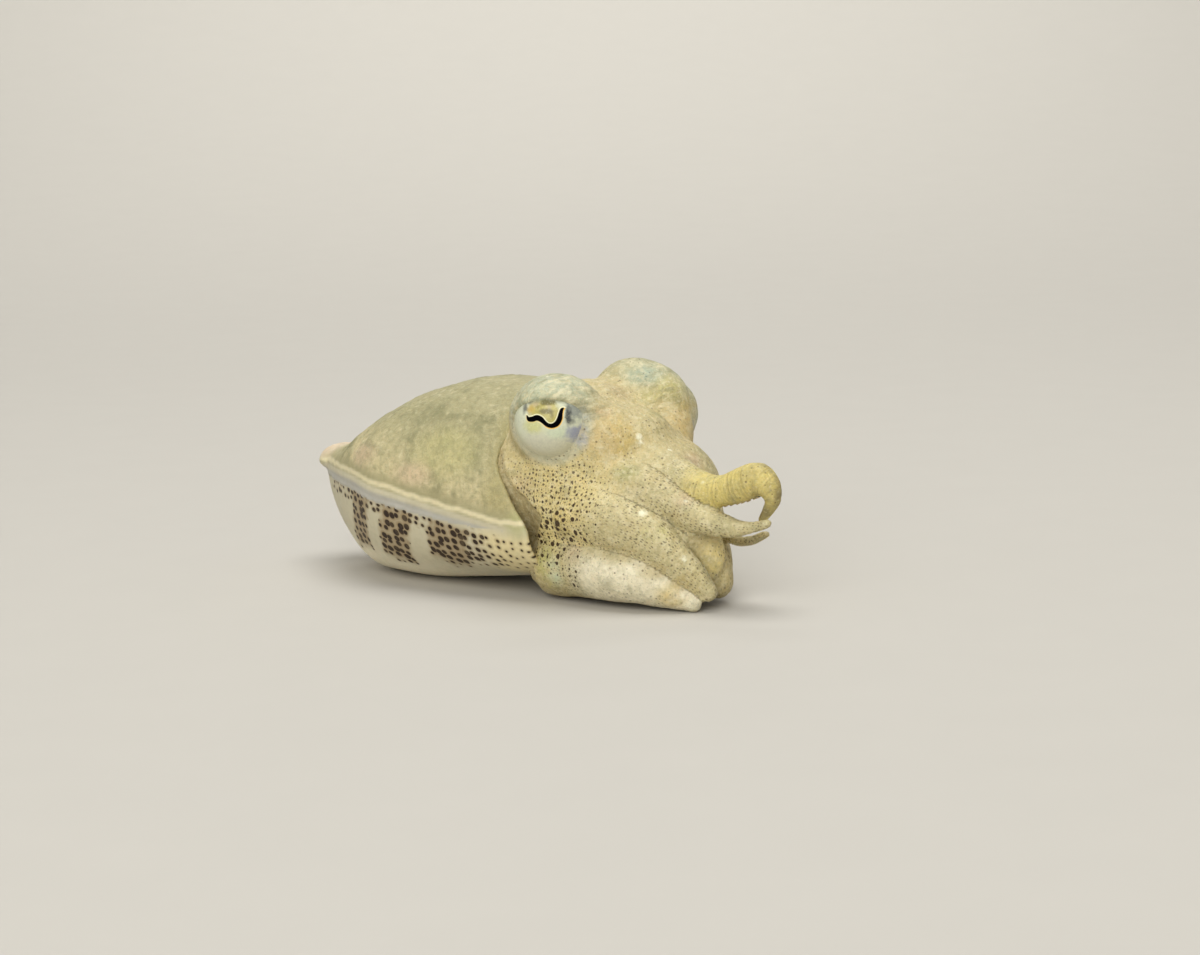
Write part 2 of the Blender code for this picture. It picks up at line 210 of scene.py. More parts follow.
def to_mesh(bm, name):
    bmesh.ops.recalc_face_normals(bm, faces=bm.faces)
    mesh = bpy.data.meshes.new(name)
    bm.to_mesh(mesh)
    bm.free()
    return mesh


def fused(mesh, voxel, smoothing):
    """Melts overlapping closed bodies into one skin, then softens it."""
    holder = bpy.data.objects.new("holder", mesh)
    bpy.context.scene.collection.objects.link(holder)
    melt = holder.modifiers.new("melt", "REMESH")
    melt.mode = "VOXEL"
    melt.voxel_size = voxel
    melt.adaptivity = 0.0
    soften = holder.modifiers.new("soften", "SMOOTH")
    soften.factor = SMOOTHING_FACTOR
    soften.iterations = smoothing
    bpy.context.view_layer.update()
    depsgraph = bpy.context.evaluated_depsgraph_get()
    result = bpy.data.meshes.new_from_object(holder.evaluated_get(depsgraph))
    name = mesh.name
    bpy.data.objects.remove(holder, do_unlink=True)
    bpy.data.meshes.remove(mesh)
    result.name = name
    return result


# %% [markdown]
# Sculpting and colouring both work on all the points of a mesh at once, as rows of numbers. What is
# worked out for a point is kept on the mesh as a named attribute, which a material can read.

# %% Points and attributes
def read_points(mesh, kind="co"):
    """The places of the mesh's points, or their normals, as rows of x, y and z."""
    rows = np.empty(len(mesh.vertices) * 3, np.float32)
    mesh.vertices.foreach_get(kind, rows)
    return rows.reshape(-1, 3).astype(float)


def write_points(mesh, points):
    mesh.vertices.foreach_set("co", points.astype(np.float32).ravel())
    mesh.update()


def write_value(mesh, name, values):
    layer = mesh.attributes.new(name, "FLOAT", "POINT")
    layer.data.foreach_set("value", np.ascontiguousarray(values, np.float32))


def write_vector(mesh, name, vectors):
    layer = mesh.attributes.new(name, "FLOAT_VECTOR", "POINT")
    layer.data.foreach_set("vector", np.ascontiguousarray(vectors, np.float32).ravel())


# %% [markdown]
# ## The mantle and its fins
#
# The mantle is the muscular bag that holds the body. From above it is a broad oval with a blunt
# tail, from the side it rises to a hump behind the head, and its back reaches forward in a lobe
# over the neck. Its section isn't a circle: the belly is squarer than the back, so the section is a
# superellipse with its own power for each half. The rim is rolled in to a soft lip, and behind it
# the opening is a real hollow. A ball could be sculpted to this form, but in a loft every section
# keeps its own measures.

# %% Mantle form
TAIL_X = -24.8
# Stations: (x, half width, top, fin line, belly).
MANTLE_STATIONS = (
    (TAIL_X, 0.6, 8.55, 8.1, 7.4),
    (-23.4, 2.3, 9.0, 8.05, 5.0),
    (-20.5, 4.45, 9.7, 8.2, 1.9),
    (-16.5, 6.5, 12.1, 8.1, -0.1),
    (-12.0, 7.9, 14.0, 7.5, -0.1),
    (-6.0, 8.0, 15.05, 6.6, 0.45),
    (0.0, 7.5, 14.85, 5.6, 1.2),
)
BACK_SQUARENESS = 2.0
BELLY_SQUARENESS = 2.55
RIM_SHARE_START = -10.0
# How far forward the rim reaches, by height: -1 at the belly, 0 at the fins, 1 on the back.
RIM_OUTLINE = ((-1.0, 0.6), (-0.5, 2.2), (-0.1, 2.2), (0.2, 0.4), (0.5, -1.3), (1.0, 1.3))
RIM_ROLL = ((0.14, 0.06), (0.2, 0.22), (0.12, 0.42), (-0.5, 0.55), (-2.2, 0.75))
CUP_FLOOR, CUP_NARROWING = -4.5, 0.6
MANTLE_SIDES = 96
MANTLE_RINGS = 72
RING_SPREAD = 0.62 * math.pi


def mantle_ring(x):
    half_width, top, fin_line, belly = (smooth_value(MANTLE_STATIONS, column, x)
                                        for column in (1, 2, 3, 4))
    angle = np.linspace(0, 2 * math.pi, MANTLE_SIDES, endpoint=False)
    side, height = np.cos(angle), np.sin(angle)
    power = 2 / np.where(height >= 0, BACK_SQUARENESS, BELLY_SQUARENESS)
    reach = np.where(height >= 0, top - fin_line, fin_line - belly)
    rim_share = max(0.0, 1 - x / RIM_SHARE_START) ** 2
    lean = rim_share * smooth_value(RIM_OUTLINE, 1, height)
    return np.stack([x + lean, half_width * np.sign(side) * np.abs(side) ** power,
                     fin_line + reach * np.sign(height) * np.abs(height) ** power], 1)


def mantle_rings():
    rings = []
    for share in np.linspace(0, 1, MANTLE_RINGS):
        spread = (1 - math.cos(RING_SPREAD * share)) / (1 - math.cos(RING_SPREAD))
        rings.append(mantle_ring(TAIL_X * (1 - spread)))
    lip = rings[-1]
    middle = np.array([0.0, 0.0, lip[:, 2].mean()])
    inward = middle - lip
    inward[:, 0] = 0.0
    inward /= np.linalg.norm(inward, axis=1)[:, None]
    for forward, inset in RIM_ROLL:
        rings.append(lip + inward * inset + np.array([forward, 0, 0]))
    floor = rings[-1] * CUP_NARROWING + middle * (1 - CUP_NARROWING)
    floor[:, 0] = CUP_FLOOR
    rings.append(floor)
    return rings


print("mantle:", len(mantle_rings()), "rings of", MANTLE_SIDES, "points")

# %% [markdown]
# Each fin is a thin soft hem that hangs out and down from the mantle's widest line, with a gentle
# wave along its edge. A sheet with a Solidify modifier would show a seam at its root, so the fin is
# lofted as a flat oval, thick enough for the remesher to keep, and is sculpted thin afterwards.

# %% Fins
FIN_START, FIN_END = -24.6, -0.2
FIN_WIDTH, FIN_LEAST = 1.05, 0.3    # and the least share of that width, at the ends
FIN_HUMP, FIN_BLUNTNESS = (0.14, 0.8), 0.6  # start and length of the half wave that it follows
FIN_HALF_THICKNESS = 0.25
FIN_DROOP = math.radians(62)
FIN_INSET = 0.45                    # how deep the fin's root starts inside the mantle
FIN_LIFT = 0.1                      # how far its root lies above the fin line
FIN_RINGS = 110
FIN_SIDES = 20


def fin_frame(x, side):
    """Root, outward direction, direction across and width of the fin at one or many x."""
    share = np.clip((x - FIN_START) / (FIN_END - FIN_START), 0, 1)
    hump = np.sin(math.pi * (FIN_HUMP[0] + FIN_HUMP[1] * share))
    width = FIN_WIDTH * np.maximum(FIN_LEAST, hump ** FIN_BLUNTNESS)
    out = np.array([0.0, side * math.cos(FIN_DROOP), -math.sin(FIN_DROOP)])
    across = np.array([0.0, side * math.sin(FIN_DROOP), math.cos(FIN_DROOP)])
    root = np.stack([x, side * (smooth_value(MANTLE_STATIONS, 1, x) - FIN_INSET),
                     smooth_value(MANTLE_STATIONS, 3, x) + FIN_LIFT], -1)
    return root, out, across, width


def fin_ring(x, side):
    root, out, across, width = fin_frame(x, side)
    middle = root + out * width / 2
    angle = np.linspace(0, 2 * math.pi, FIN_SIDES, endpoint=False)
    return (middle + np.outer(np.cos(angle), out) * width / 2
            + np.outer(np.sin(angle), across) * FIN_HALF_THICKNESS)


print("each fin is", round(FIN_END - FIN_START, 1), "mm long and", FIN_WIDTH, "mm wide")

# %% [markdown]
# The mantle, the flat lip of the tail and both fins now melt into one skin. Behind the widest part
# the lip is smoothed into the back, and the fins are sculpted thin towards their edge.

# %% Melt and sculpt the mantle
MANTLE_VOXEL, MANTLE_SMOOTHING = 0.14, 3
TAIL_SOFT_X, TAIL_SOFTENING = -20.8, 16
FIN_EDGE_SHARE = 0.45               # thickness left at the fin's edge
FIN_WAVE, FIN_WAVE_PITCH = 0.07, 1.7
FIN_SPARE, FIN_OVERREACH = 0.5, 0.4     # how far off the flat fin a point still belongs to it
NOT_ON_FIN = -9.0


def fin_places(points):
    """How far out along the fin each point is, in millimetres, and its offset across the fin."""
    along, offset = np.full(len(points), NOT_ON_FIN), np.zeros(len(points))
    for side in (-1, 1):
        chosen = points[:, 1] * side > 0
        root, out, across, width = fin_frame(points[chosen, 0], side)
        gap = points[chosen] - root
        reach, aside = gap @ out, gap @ across
        inside = (np.abs(aside) < FIN_SPARE) & (reach > FIN_INSET) & (reach < width + FIN_OVERREACH)
        inside &= (points[chosen, 0] > FIN_START) & (points[chosen, 0] < FIN_END + FIN_SPARE)
        along[chosen] = np.where(inside, reach - FIN_INSET, NOT_ON_FIN)
        offset[chosen] = aside
    return along, offset


def thin_fins(mesh):
    """Sculpts the fins thin towards their edge, with a faint wave."""
    points = read_points(mesh)
    along, offset = fin_places(points)
    keep = 1 - (1 - FIN_EDGE_SHARE) * step_between(0.1, 0.9, along)
    wave = FIN_WAVE * step_between(0.3, 1.2, along) * np.sin(FIN_WAVE_PITCH * points[:, 0])
    across = np.stack([np.zeros(len(points)), np.sign(points[:, 1]) * math.sin(FIN_DROOP),
                       np.full(len(points), math.cos(FIN_DROOP))], 1)
    write_points(mesh, points + across * (offset * (keep - 1) + wave)[:, None])


def relax(mesh, limit, rounds):
    """Softens the part of a mesh behind the limit, as a sculptor's smooth brush does."""
    bm = bmesh.new()
    bm.from_mesh(mesh)
    chosen = [vertex for vertex in bm.verts if vertex.co.x < limit]
    for _ in range(rounds):
        bmesh.ops.smooth_vert(bm, verts=chosen, factor=SMOOTHING_FACTOR, use_axis_x=True,
                              use_axis_y=True, use_axis_z=True)
    bm.to_mesh(mesh)
    bm.free()


def make_mantle():
    bm = bmesh.new()
    add_loft(bm, mantle_rings())
    add_ellipsoid(bm, TAIL_LIP_CENTRE, TAIL_LIP_RADII)
    for side in (-1, 1):
        add_loft(bm, [fin_ring(x, side) for x in np.linspace(FIN_START, FIN_END, FIN_RINGS)])
    mesh = fused(to_mesh(bm, "mantle_skin"), MANTLE_VOXEL, MANTLE_SMOOTHING)
    relax(mesh, TAIL_SOFT_X, TAIL_SOFTENING)
    thin_fins(mesh)
    return mesh


mantle_mesh = make_mantle()
print("mantle skin:", len(mantle_mesh.polygons), "faces")

# %% [markdown]
# ## The head
#
# The head sits in the mantle's opening on a narrower neck. A large orbit bulges on each side near
# the top. One subdivided box could be pulled into that form, but each bulge would tug at the next.
# Ellipsoids that are fused coarsely and softened a good deal keep to their places and get the wide
# fillets of flesh. Here are only their sizes: they melt later, with the roots of the arms.

# %% Masses of the head
# Masses that stand alone: (centre, radii).
HEAD_FORMS = (
    ((3.4, 0.0, 7.7), (5.6, 6.7, 6.2)),      # the head itself
    ((-0.6, 0.0, 8.05), (4.6, 6.75, 6.4)),   # neck
    ((7.4, 0.0, 7.1), (4.8, 5.6, 4.6)),      # crown that the arms grow from
    ((1.6, 0.0, 10.8), (4.6, 5.0, 4.35)),    # nape
    ((4.9, 4.1, 11.0), (2.7, 2.4, 2.7)),     # before the left eye, which looks further back
    ((2.5, 4.3, 13.2), (3.3, 3.0, 3.15)),    # left brow
    ((5.7, -3.0, 11.2), (3.1, 2.7, 2.9)),    # before the right eye
    ((6.5, -1.0, 10.9), (3.2, 3.4, 2.7)),    # brow between the eyes
)
# Masses with a twin on the other side.
TWIN_FORMS = (
    ((5.3, 4.1, 4.1), (3.4, 2.0, 2.3)),      # jowl
    ((3.1, 4.6, 12.75), (3.8, 3.1, 3.35)),   # orbit
)
# Webs of flesh between neighbouring arms.
WEBS = (((11.6, -2.4, 5.4), (2.2, 1.3, 1.6)), ((13.1, -0.9, 3.6), (1.5, 1.3, 2.3)),
        ((9.6, -4.1, 3.7), (3.2, 1.6, 1.4)))


def mirrored(point, side):
    """The point's twin on the right side, -1, or the left, 1."""
    return Vector((point[0], side * abs(point[1]), point[2]))


print("masses of the head:", len(HEAD_FORMS) + 2 * len(TWIN_FORMS) + len(WEBS))

# %% [markdown]
# The eyeballs have to lie exactly where the frame has them, so they are measured there. Over the
# top of each eye a lid hangs like a hood. A loose shell would look stuck on, so the lid is a ball a
# little larger than the eye, cut off below by a tilted plane, that melts into the skin.

# %% Eyes of the frame and their lids
def eye_ball(word):
    """The middle and the radius of an eyeball of the frame, in millimetres from the rim."""
    low, high = (Vector(corner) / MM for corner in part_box("eye_" + word))
    return (low + high) / 2 - Vector((rim_x, 0, 0)), (high.z - low.z) / 2


EYES = {side: eye_ball(word) for side, word in ((-1, "right"), (1, "left"))}
EYE_RADIUS = EYES[-1][1]
for side, (centre, radius) in EYES.items():
    print("eye centre", [round(c, 2) for c in centre], "radius", round(radius, 2))

LID_THICKNESS = 0.2
# For each eye: the way the lid looks, and its edge's distance from the eye's centre that way.
LIDS = {-1: (Vector((-0.345, 0.589, 0.73)), -0.33), 1: (Vector((0.2, -0.85, 0.45)), -1.1)}


def add_lid(bm, side):
    centre, radius = EYES[side][0], EYE_RADIUS + LID_THICKNESS
    ball = add_ellipsoid(bm, centre, (radius, radius, radius))
    tilt, edge = LIDS[side]
    tilt = tilt.normalized()
    geometry = ball + list({e for v in ball for e in v.link_edges}) + list(
        {f for v in ball for f in v.link_faces})
    cut = bmesh.ops.bisect_plane(bm, geom=geometry, plane_co=centre + tilt * edge,
                                 plane_no=tilt, clear_inner=True)
    rim = [item for item in cut["geom_cut"] if isinstance(item, bmesh.types.BMEdge)]
    bmesh.ops.edgeloop_fill(bm, edges=rim)


# %% [markdown]
# ## The arms
#
# Eight arms leave the front of the head. Each follows a smooth route through a few stations, and
# its section is a flattened oval: wide from side to side, rounded outside and flatter on the inner
# face that carries the suckers. A curve with a bevel would be quicker, but its section couldn't be
# flat on one side. A loft can, and a half-round end closes its tip.

# %% Arm routes
# Each arm: stations (x, y, z, radius) from root to tip, for its pair counted from the top.
ARM_ROUTES = {
    "arm_right_1": ((6.6, -1.9, 10.3, 1.85), (10.2, -1.8, 9.1, 1.7), (13.0, -1.5, 8.1, 1.4),
                    (14.9, -1.2, 8.1, 1.15), (16.5, -1.0, 8.6, 1.28), (17.7, -0.8, 9.0, 1.25),
                    (18.5, -0.7, 8.6, 0.9), (18.8, -0.6, 7.8, 0.57), (18.3, -0.45, 7.0, 0.42),
                    (17.7, -0.4, 6.3, 0.3)),
    "arm_right_2": ((6.2, -3.9, 8.8, 1.9), (9.8, -3.4, 8.2, 1.7), (12.5, -2.6, 7.0, 1.3),
                    (14.1, -2.3, 6.3, 1.02), (16.4, -1.9, 5.8, 0.66), (17.6, -1.8, 5.9, 0.43),
                    (19.2, -1.7, 6.3, 0.3)),
    "arm_right_3": ((4.8, -4.8, 6.5, 2.2), (8.0, -4.8, 6.1, 2.15), (10.6, -4.3, 5.1, 1.8),
                    (12.3, -3.7, 3.75, 1.4), (13.7, -3.1, 2.45, 1.05), (14.6, -2.6, 1.4, 0.68)),
    "arm_right_4": ((0.8, -3.6, 2.3, 1.92), (3.9, -4.2, 2.5, 2.15), (7.5, -4.5, 2.6, 2.25),
                    (10.0, -4.3, 2.3, 2.0), (11.4, -3.9, 1.75, 1.6), (12.9, -3.5, 1.05, 1.05),
                    (13.7, -3.2, 0.6, 0.65)),
    "arm_left_1": ((6.7, 1.9, 10.3, 1.85), (9.9, 1.9, 8.35, 1.5), (11.1, 1.5, 6.9, 1.1),
                   (12.6, 1.1, 5.5, 0.74), (14.2, 0.8, 4.5, 0.45), (15.7, 0.7, 4.5, 0.35),
                   (17.2, 0.6, 5.1, 0.29)),
    "arm_left_2": ((6.2, 4.1, 8.4, 1.9), (8.9, 3.4, 6.7, 1.63), (11.0, 1.8, 4.8, 1.43),
                   (12.5, 0.5, 3.1, 1.45), (13.2, 0.1, 1.55, 1.2)),
    "arm_left_3": ((4.8, 5.0, 5.9, 2.0), (7.0, 5.0, 4.4, 1.72), (8.9, 4.6, 3.0, 1.42),
                   (10.0, 4.0, 1.7, 1.13), (10.5, 3.4, 0.8, 0.8)),
    "arm_left_4": ((0.8, 3.6, 2.2, 1.8), (3.6, 3.9, 2.1, 1.95), (6.6, 3.8, 1.7, 1.6),
                   (9.0, 3.1, 1.1, 1.15), (11.0, 2.3, 0.5, 0.65)),
}
# The way each pair's outer face looks at the root (y is away from the middle).
ARM_OUTWARD = {1: (0.0, 0.45, 0.9), 2: (0.0, 0.85, 0.5), 3: (0.0, 1.0, -0.05),
               4: (0.0, 0.75, -0.65)}
ARM_SIDES = 28
ARM_RINGS = 44
TIP_RINGS, TIP_GAP = 5, 0.4         # the last ring ends this share of a step before the pole
# Shares of the station's radius: sideways, to the outer face and to the inner face.
ARM_WIDENESS, ARM_FLATNESS, ARM_INNER_FLATNESS = 1.06, 0.94, 0.8
print("arms:", len(ARM_ROUTES))

# %% [markdown]
# A route is smoothed first, then each ring is set across it. The outward direction is carried from
# ring to ring and only straightened, so that it never turns round the arm.

# %% Arm rings
def route_points(route, count):
    """Points (x, y, z, radius) evenly along the smooth curve through an arm's stations."""
    stations = np.array(route)
    lengths = np.linalg.norm(np.diff(stations[:, :3], axis=0), axis=1)
    knots = np.concatenate([[0], np.cumsum(lengths)])
    slopes = np.empty_like(stations)
    slopes[1:-1] = (stations[2:] - stations[:-2]) / (knots[2:] - knots[:-2])[:, None]
    slopes[0] = (stations[1] - stations[0]) / lengths[0]
    slopes[-1] = (stations[-1] - stations[-2]) / lengths[-1]
    places = np.linspace(0, knots[-1], count)
    index = np.clip(np.searchsorted(knots, places) - 1, 0, len(lengths) - 1)
    step = lengths[index][:, None]
    t = ((places - knots[index]) / lengths[index])[:, None]
    return cubic(t, step, stations[index], stations[index + 1], slopes[index], slopes[index + 1])


def arm_frames(name, count=ARM_RINGS):
    """Route points with the forward, outward and sideways direction at each."""
    points = route_points(ARM_ROUTES[name], count)
    side = -1 if "right" in name else 1
    outward = np.array(ARM_OUTWARD[int(name[-1])]) * np.array([1, side, 1])
    forwards = np.gradient(points[:, :3], axis=0)
    forwards /= np.linalg.norm(forwards, axis=1)[:, None]
    outwards = []
    for forward in forwards:
        outward = outward - forward * outward.dot(forward)
        outward = outward / np.linalg.norm(outward)
        outwards.append(outward)
    outwards = np.array(outwards)
    return points, forwards, outwards, np.cross(forwards, outwards)


def lengths_along(points):
    """The length from the first point to each of the others, along their line."""
    return np.concatenate([[0], np.cumsum(np.linalg.norm(np.diff(points, axis=0), axis=1))])


def arm_rings(name):
    points, forwards, outwards, sideways = arm_frames(name)
    angle = np.linspace(0, 2 * math.pi, ARM_SIDES, endpoint=False)
    across = ARM_WIDENESS * np.cos(angle)
    outer = np.sin(angle) * np.where(np.sin(angle) > 0, ARM_FLATNESS, ARM_INNER_FLATNESS)
    rings = []
    for point, outward, sideway in zip(points, outwards, sideways):
        rings.append(point[:3] + point[3] * (np.outer(across, sideway) + np.outer(outer, outward)))
    tip, radius = points[-1][:3], points[-1][3]
    for number in range(1, TIP_RINGS + 1):
        turn = number / (TIP_RINGS + TIP_GAP) * math.pi / 2
        shrink, reach = math.cos(turn), math.sin(turn)
        rings.append(tip + forwards[-1] * radius * reach
                     + (rings[ARM_RINGS - 1] - tip) * shrink)
    return rings


for name in ARM_ROUTES:
    print(name, "is", round(lengths_along(arm_frames(name)[0][:, :3])[-1], 1), "mm long")

# %% [markdown]
# The funnel is the short tube under the neck that the animal swims with. Its mouth is open. It
# could be a thin tube made solid, but a loft that turns round the lip and runs back inside has a
# round lip at once.

# %% Funnel
FUNNEL_START, FUNNEL_END = np.array([-1.2, 0.0, 2.4]), np.array([4.6, 0.0, 1.5])
# Rings from the root round the lip and back inside: (share along, half width, half height).
FUNNEL_RINGS = ((0.0, 2.0, 1.3), (0.3, 1.9, 1.25), (0.6, 1.55, 1.1), (0.85, 1.25, 0.95),
                (0.97, 1.15, 0.9), (1.0, 1.0, 0.78), (0.96, 0.8, 0.6), (0.7, 0.75, 0.55))
FUNNEL_SIDES = 28


def funnel_rings():
    along = FUNNEL_END - FUNNEL_START
    angle = np.linspace(0, 2 * math.pi, FUNNEL_SIDES, endpoint=False)
    rings = []
    for share, half_width, half_height in FUNNEL_RINGS:
        middle = FUNNEL_START + along * share
        rings.append(np.stack([np.full(FUNNEL_SIDES, middle[0]), half_width * np.cos(angle),
                               middle[2] + half_height * np.sin(angle)], 1))
    return rings


print("funnel:", len(funnel_rings()), "rings")

# %% [markdown]
# Now the parts melt together in two steps. The masses of the head, the webs and the roots of the
# arms melt coarsely into a blank, which is smoothed until the hollows between them are wide and
# soft. The lids, the whole arms and the funnel melt in finely, so they keep their form.

# %% Melt the head and arms
BLANK_VOXEL, BLANK_SMOOTHING = 0.3, 26
SKIN_VOXEL, SKIN_SMOOTHING = 0.15, 5
ROOT_RINGS = 20                     # rings of each arm that melt into the blank


def make_head_blank():
    bm = bmesh.new()
    for centre, radii in HEAD_FORMS:
        add_ellipsoid(bm, centre, radii)
    for centre, radii in TWIN_FORMS:
        for side in (-1, 1):
            add_ellipsoid(bm, mirrored(centre, side), radii)
    for name in ARM_ROUTES:
        add_loft(bm, arm_rings(name)[:ROOT_RINGS])
    for centre, radii in WEBS:
        add_ellipsoid(bm, centre, radii)
    return fused(to_mesh(bm, "head_blank"), BLANK_VOXEL, BLANK_SMOOTHING)


def make_head():
    bm = bmesh.new()
    bm.from_mesh(make_head_blank())
    for side in (-1, 1):
        add_lid(bm, side)
    for name in ARM_ROUTES:
        add_loft(bm, arm_rings(name))
    add_loft(bm, funnel_rings())
    return fused(to_mesh(bm, "head_skin"), SKIN_VOXEL, SKIN_SMOOTHING)


head_mesh = make_head()
print("head skin:", len(head_mesh.polygons), "faces")

# %% [markdown]
# ## Growing detail on the skin
#
# Real skin is never as smooth as a loft. Small soft bumps, the papillae, cover the back, and the
# arms are finely wrinkled. Each point of the skin is pushed along its normal by layered noise, as a
# sculptor would with a clay brush, and each region has its own depth. A Displace modifier could do
# it too, but here the same masks also serve the colour, which is laid on coat over coat.

# %% Sculpting and colouring by masks
def noise_field(points, size, octaves, seed):
    """Layered noise between about -1 and 1 at each point, with features of the given size."""
    offset = Vector((seed * 17.3, seed * 5.1, seed * 9.7))
    return np.array([noise.fractal(Vector(p) / size + offset, 1.0, 2.0, octaves,
                                   noise_basis="PERLIN_ORIGINAL") for p in points])


def push_out(mesh, distances):
    write_points(mesh, read_points(mesh) + read_points(mesh, "normal") * distances[:, None])


def patch(points, centre, radii, core=0.5):
    """One inside an ellipsoid's core, fading to zero at its surface."""
    reach = np.linalg.norm((points - np.array(centre)) / np.array(radii), axis=1)
    return 1 - step_between(core, 1.0, reach)


def twin_patch(points, centre, radii, core=0.5):
    """The same patch on both sides of the body."""
    folded = np.stack([points[:, 0], np.abs(points[:, 1]), points[:, 2]], 1)
    return patch(folded, mirrored(centre, 1), radii, core)


def lay_coats(base, coats):
    """Starts each point with the base colour and lays coats on it: (colour, strength, mask)."""
    tone = np.tile(np.array(base), (len(coats[0][2]), 1))
    for colour, strength, mask in coats:
        tone += (np.array(colour) - tone) * np.clip(strength * mask, 0, 1)[:, None]
    return tone


OTHER_SIDE = 100.0                  # the left side takes its dots from another part of a pattern


def flat_places(points, first, second):
    """Two lengths that a flat pattern is drawn by, starting elsewhere on the left side."""
    return np.stack([first + np.where(points[:, 1] > 0, OTHER_SIDE, 0.0), second,
                     np.zeros(len(first))], 1)


# %% [markdown]
# ## Regions of the mantle
#
# Every marking of the mantle has its own place: the back lies above the line of the fins, the
# flank below it, and slanted bars cross the flank. These places are worked out once, as masks
# between zero and one, which the relief, the colour and the dots all use. They could be painted
# with a brush, but worked out from the form they lie exactly where its edges are.

# %% Mantle regions
BAR_SLANT = 0.33
# Bars on the flank: (from, to, how far down) in the slanted place x + slant * depth.
BARS = ((-15.4, -12.9, 5.9), (-11.2, -8.1, 5.9), (-6.2, -2.7, 4.7))
BAR_EDGE = 0.3                      # softness of a bar's sides
BAR_FADE = 0.6                      # softness of its lower end


def mantle_places(points):
    """Height over the fin line, depth under it and the outer reach, in millimetres."""
    x = np.clip(points[:, 0], TAIL_X, 0.0)
    half_width, fin_line = (smooth_value(MANTLE_STATIONS, column, x) for column in (1, 3))
    above = points[:, 2] - fin_line
    inward = np.maximum(half_width - np.abs(points[:, 1]), 0)
    depth = np.where(above < 0, np.hypot(above, inward), 0.0)
    return above, depth, np.abs(points[:, 1]) - half_width


def mantle_regions(mesh):
    """The places and masks of the mantle's points, by name."""
    points = read_points(mesh)
    above, depth, outside = mantle_places(points)
    fin = step_between(0.25, 0.5, fin_places(points)[0])
    coarse, fine = noise_field(points, 1.6, 3, 1), noise_field(points, 0.45, 3, 2)
    slanted = points[:, 0] + BAR_SLANT * depth + 0.3 * coarse + 0.12 * fine
    bars = np.zeros(len(points))
    for low, high, reach in BARS:
        fades = 1 - step_between(reach - BAR_FADE, reach + BAR_FADE, depth + 0.5 * coarse)
        bars = np.maximum(bars, fades * bump_between(low, high, BAR_EDGE, slanted))
    return SimpleNamespace(
        points=points, x=points[:, 0], above=above, depth=depth, outside=outside, fin=fin,
        back=step_between(0.2, 1.4, above) * (1 - fin), coarse=coarse, fine=fine,
        slanted=slanted, bars=bars * step_between(0.8, 1.5, depth))


mantle_on = mantle_regions(mantle_mesh)
print("share of the mantle's points on the back:", round(float(mantle_on.back.mean()), 2))

# %% [markdown]
# The back is rough with papillae, the flank is nearly smooth, and the lip of the tail is plump. The
# larger bumps are moved in the mesh, where they catch the light at the outline as well. The finest
# grain is left to the shader's bump.

# %% Mantle relief
PAPILLA_HEIGHT, PAPILLA_GRAIN, FLANK_GRAIN = 0.06, 0.035, 0.01
TAIL_SWELL = 0.25
TAIL_SWELL_PATCH = ((-24.8, 0.0, 8.3), (2.2, 2.6, 1.5))


def carve_mantle(mesh, on):
    swell = TAIL_SWELL * patch(on.points, *TAIL_SWELL_PATCH, 0.35)
    papillae = PAPILLA_HEIGHT * on.coarse + PAPILLA_GRAIN * on.fine
    push_out(mesh, swell + on.back * papillae
             + (1 - on.back) * (1 - on.fin) * FLANK_GRAIN * on.fine)


carve_mantle(mantle_mesh, mantle_on)
print("papillae stand up to", round(PAPILLA_HEIGHT + PAPILLA_GRAIN, 3), "mm high")

# %% [markdown]
# ## Colours of the mantle
#
# The back is khaki with soft olive mottles and pale flecks. A cream line runs along the root of
# each fin, and the fin itself is a thin, bluish, half clear hem. Below it the flank is pale, with
# slanted brown bars made of round pigment dots. Soft colour is laid on the points of the mesh, and
# the pattern of dots comes later from the shader, where it can be sharper than the mesh.

# %% Mantle colours
KHAKI = (0.37, 0.335, 0.18)
SAND = (0.60, 0.515, 0.285)
OLIVE = (0.23, 0.22, 0.11)
CREAM = (0.72, 0.64, 0.40)
PINK = (0.62, 0.48, 0.30)
FLANK = (0.55, 0.50, 0.345)
FLANK_WARM = (0.75, 0.64, 0.345)
# Pale cream of the belly, made lighter still as painted light bounced up from the floor.
BELLY_AND_BOUNCE_LIGHT = (0.92, 0.84, 0.62)
BAR_BROWN = (0.235, 0.15, 0.06)
FIN_PALE = (0.43, 0.41, 0.345)
RIM_OLIVE = (0.36, 0.31, 0.13)
RIM_GREEN = (0.43, 0.42, 0.17)
TAIL_PINK = (0.68, 0.535, 0.38)
BACK_GOLD = (0.50, 0.455, 0.20)
# Patches: (place, radii).
RIM_PATCH = ((1.6, 7.3, 5.6), (1.7, 1.5, 1.4))
TAIL_PATCH = ((-24.4, 0.0, 8.6), (5.2, 6.0, 3.0))
GOLD_PATCH = ((-5.5, 7.2, 10.3), (4.4, 2.4, 2.8))
PINK_PATCHES = (((-14.5, 7.0, 9.6), (3.0, 1.6, 1.3)), ((-8.3, 7.8, 8.6), (2.8, 1.5, 1.2)))
BACK_SMUDGES = (
    ((-9.0, -5.0, 12.6), (2.6, 2.0, 1.2)), ((-17.7, -5.4, 9.8), (3.8, 2.4, 1.5)),
    ((-14.0, 4.5, 11.5), (3.0, 2.2, 1.6)), ((-5.0, 3.0, 14.5), (2.8, 2.4, 1.6)),
    ((-20.0, 1.5, 10.4), (1.8, 2.0, 1.2)), ((-8.5, 0.5, 14.6), (1.6, 1.6, 1.2)),
    ((-13.8, -6.9, 10.0), (2.8, 1.5, 0.9)),
)
print("dark smudges on the back:", len(BACK_SMUDGES))

# %% [markdown]
# The coats go on in order, from the pale flank to the cream line that lies over everything.

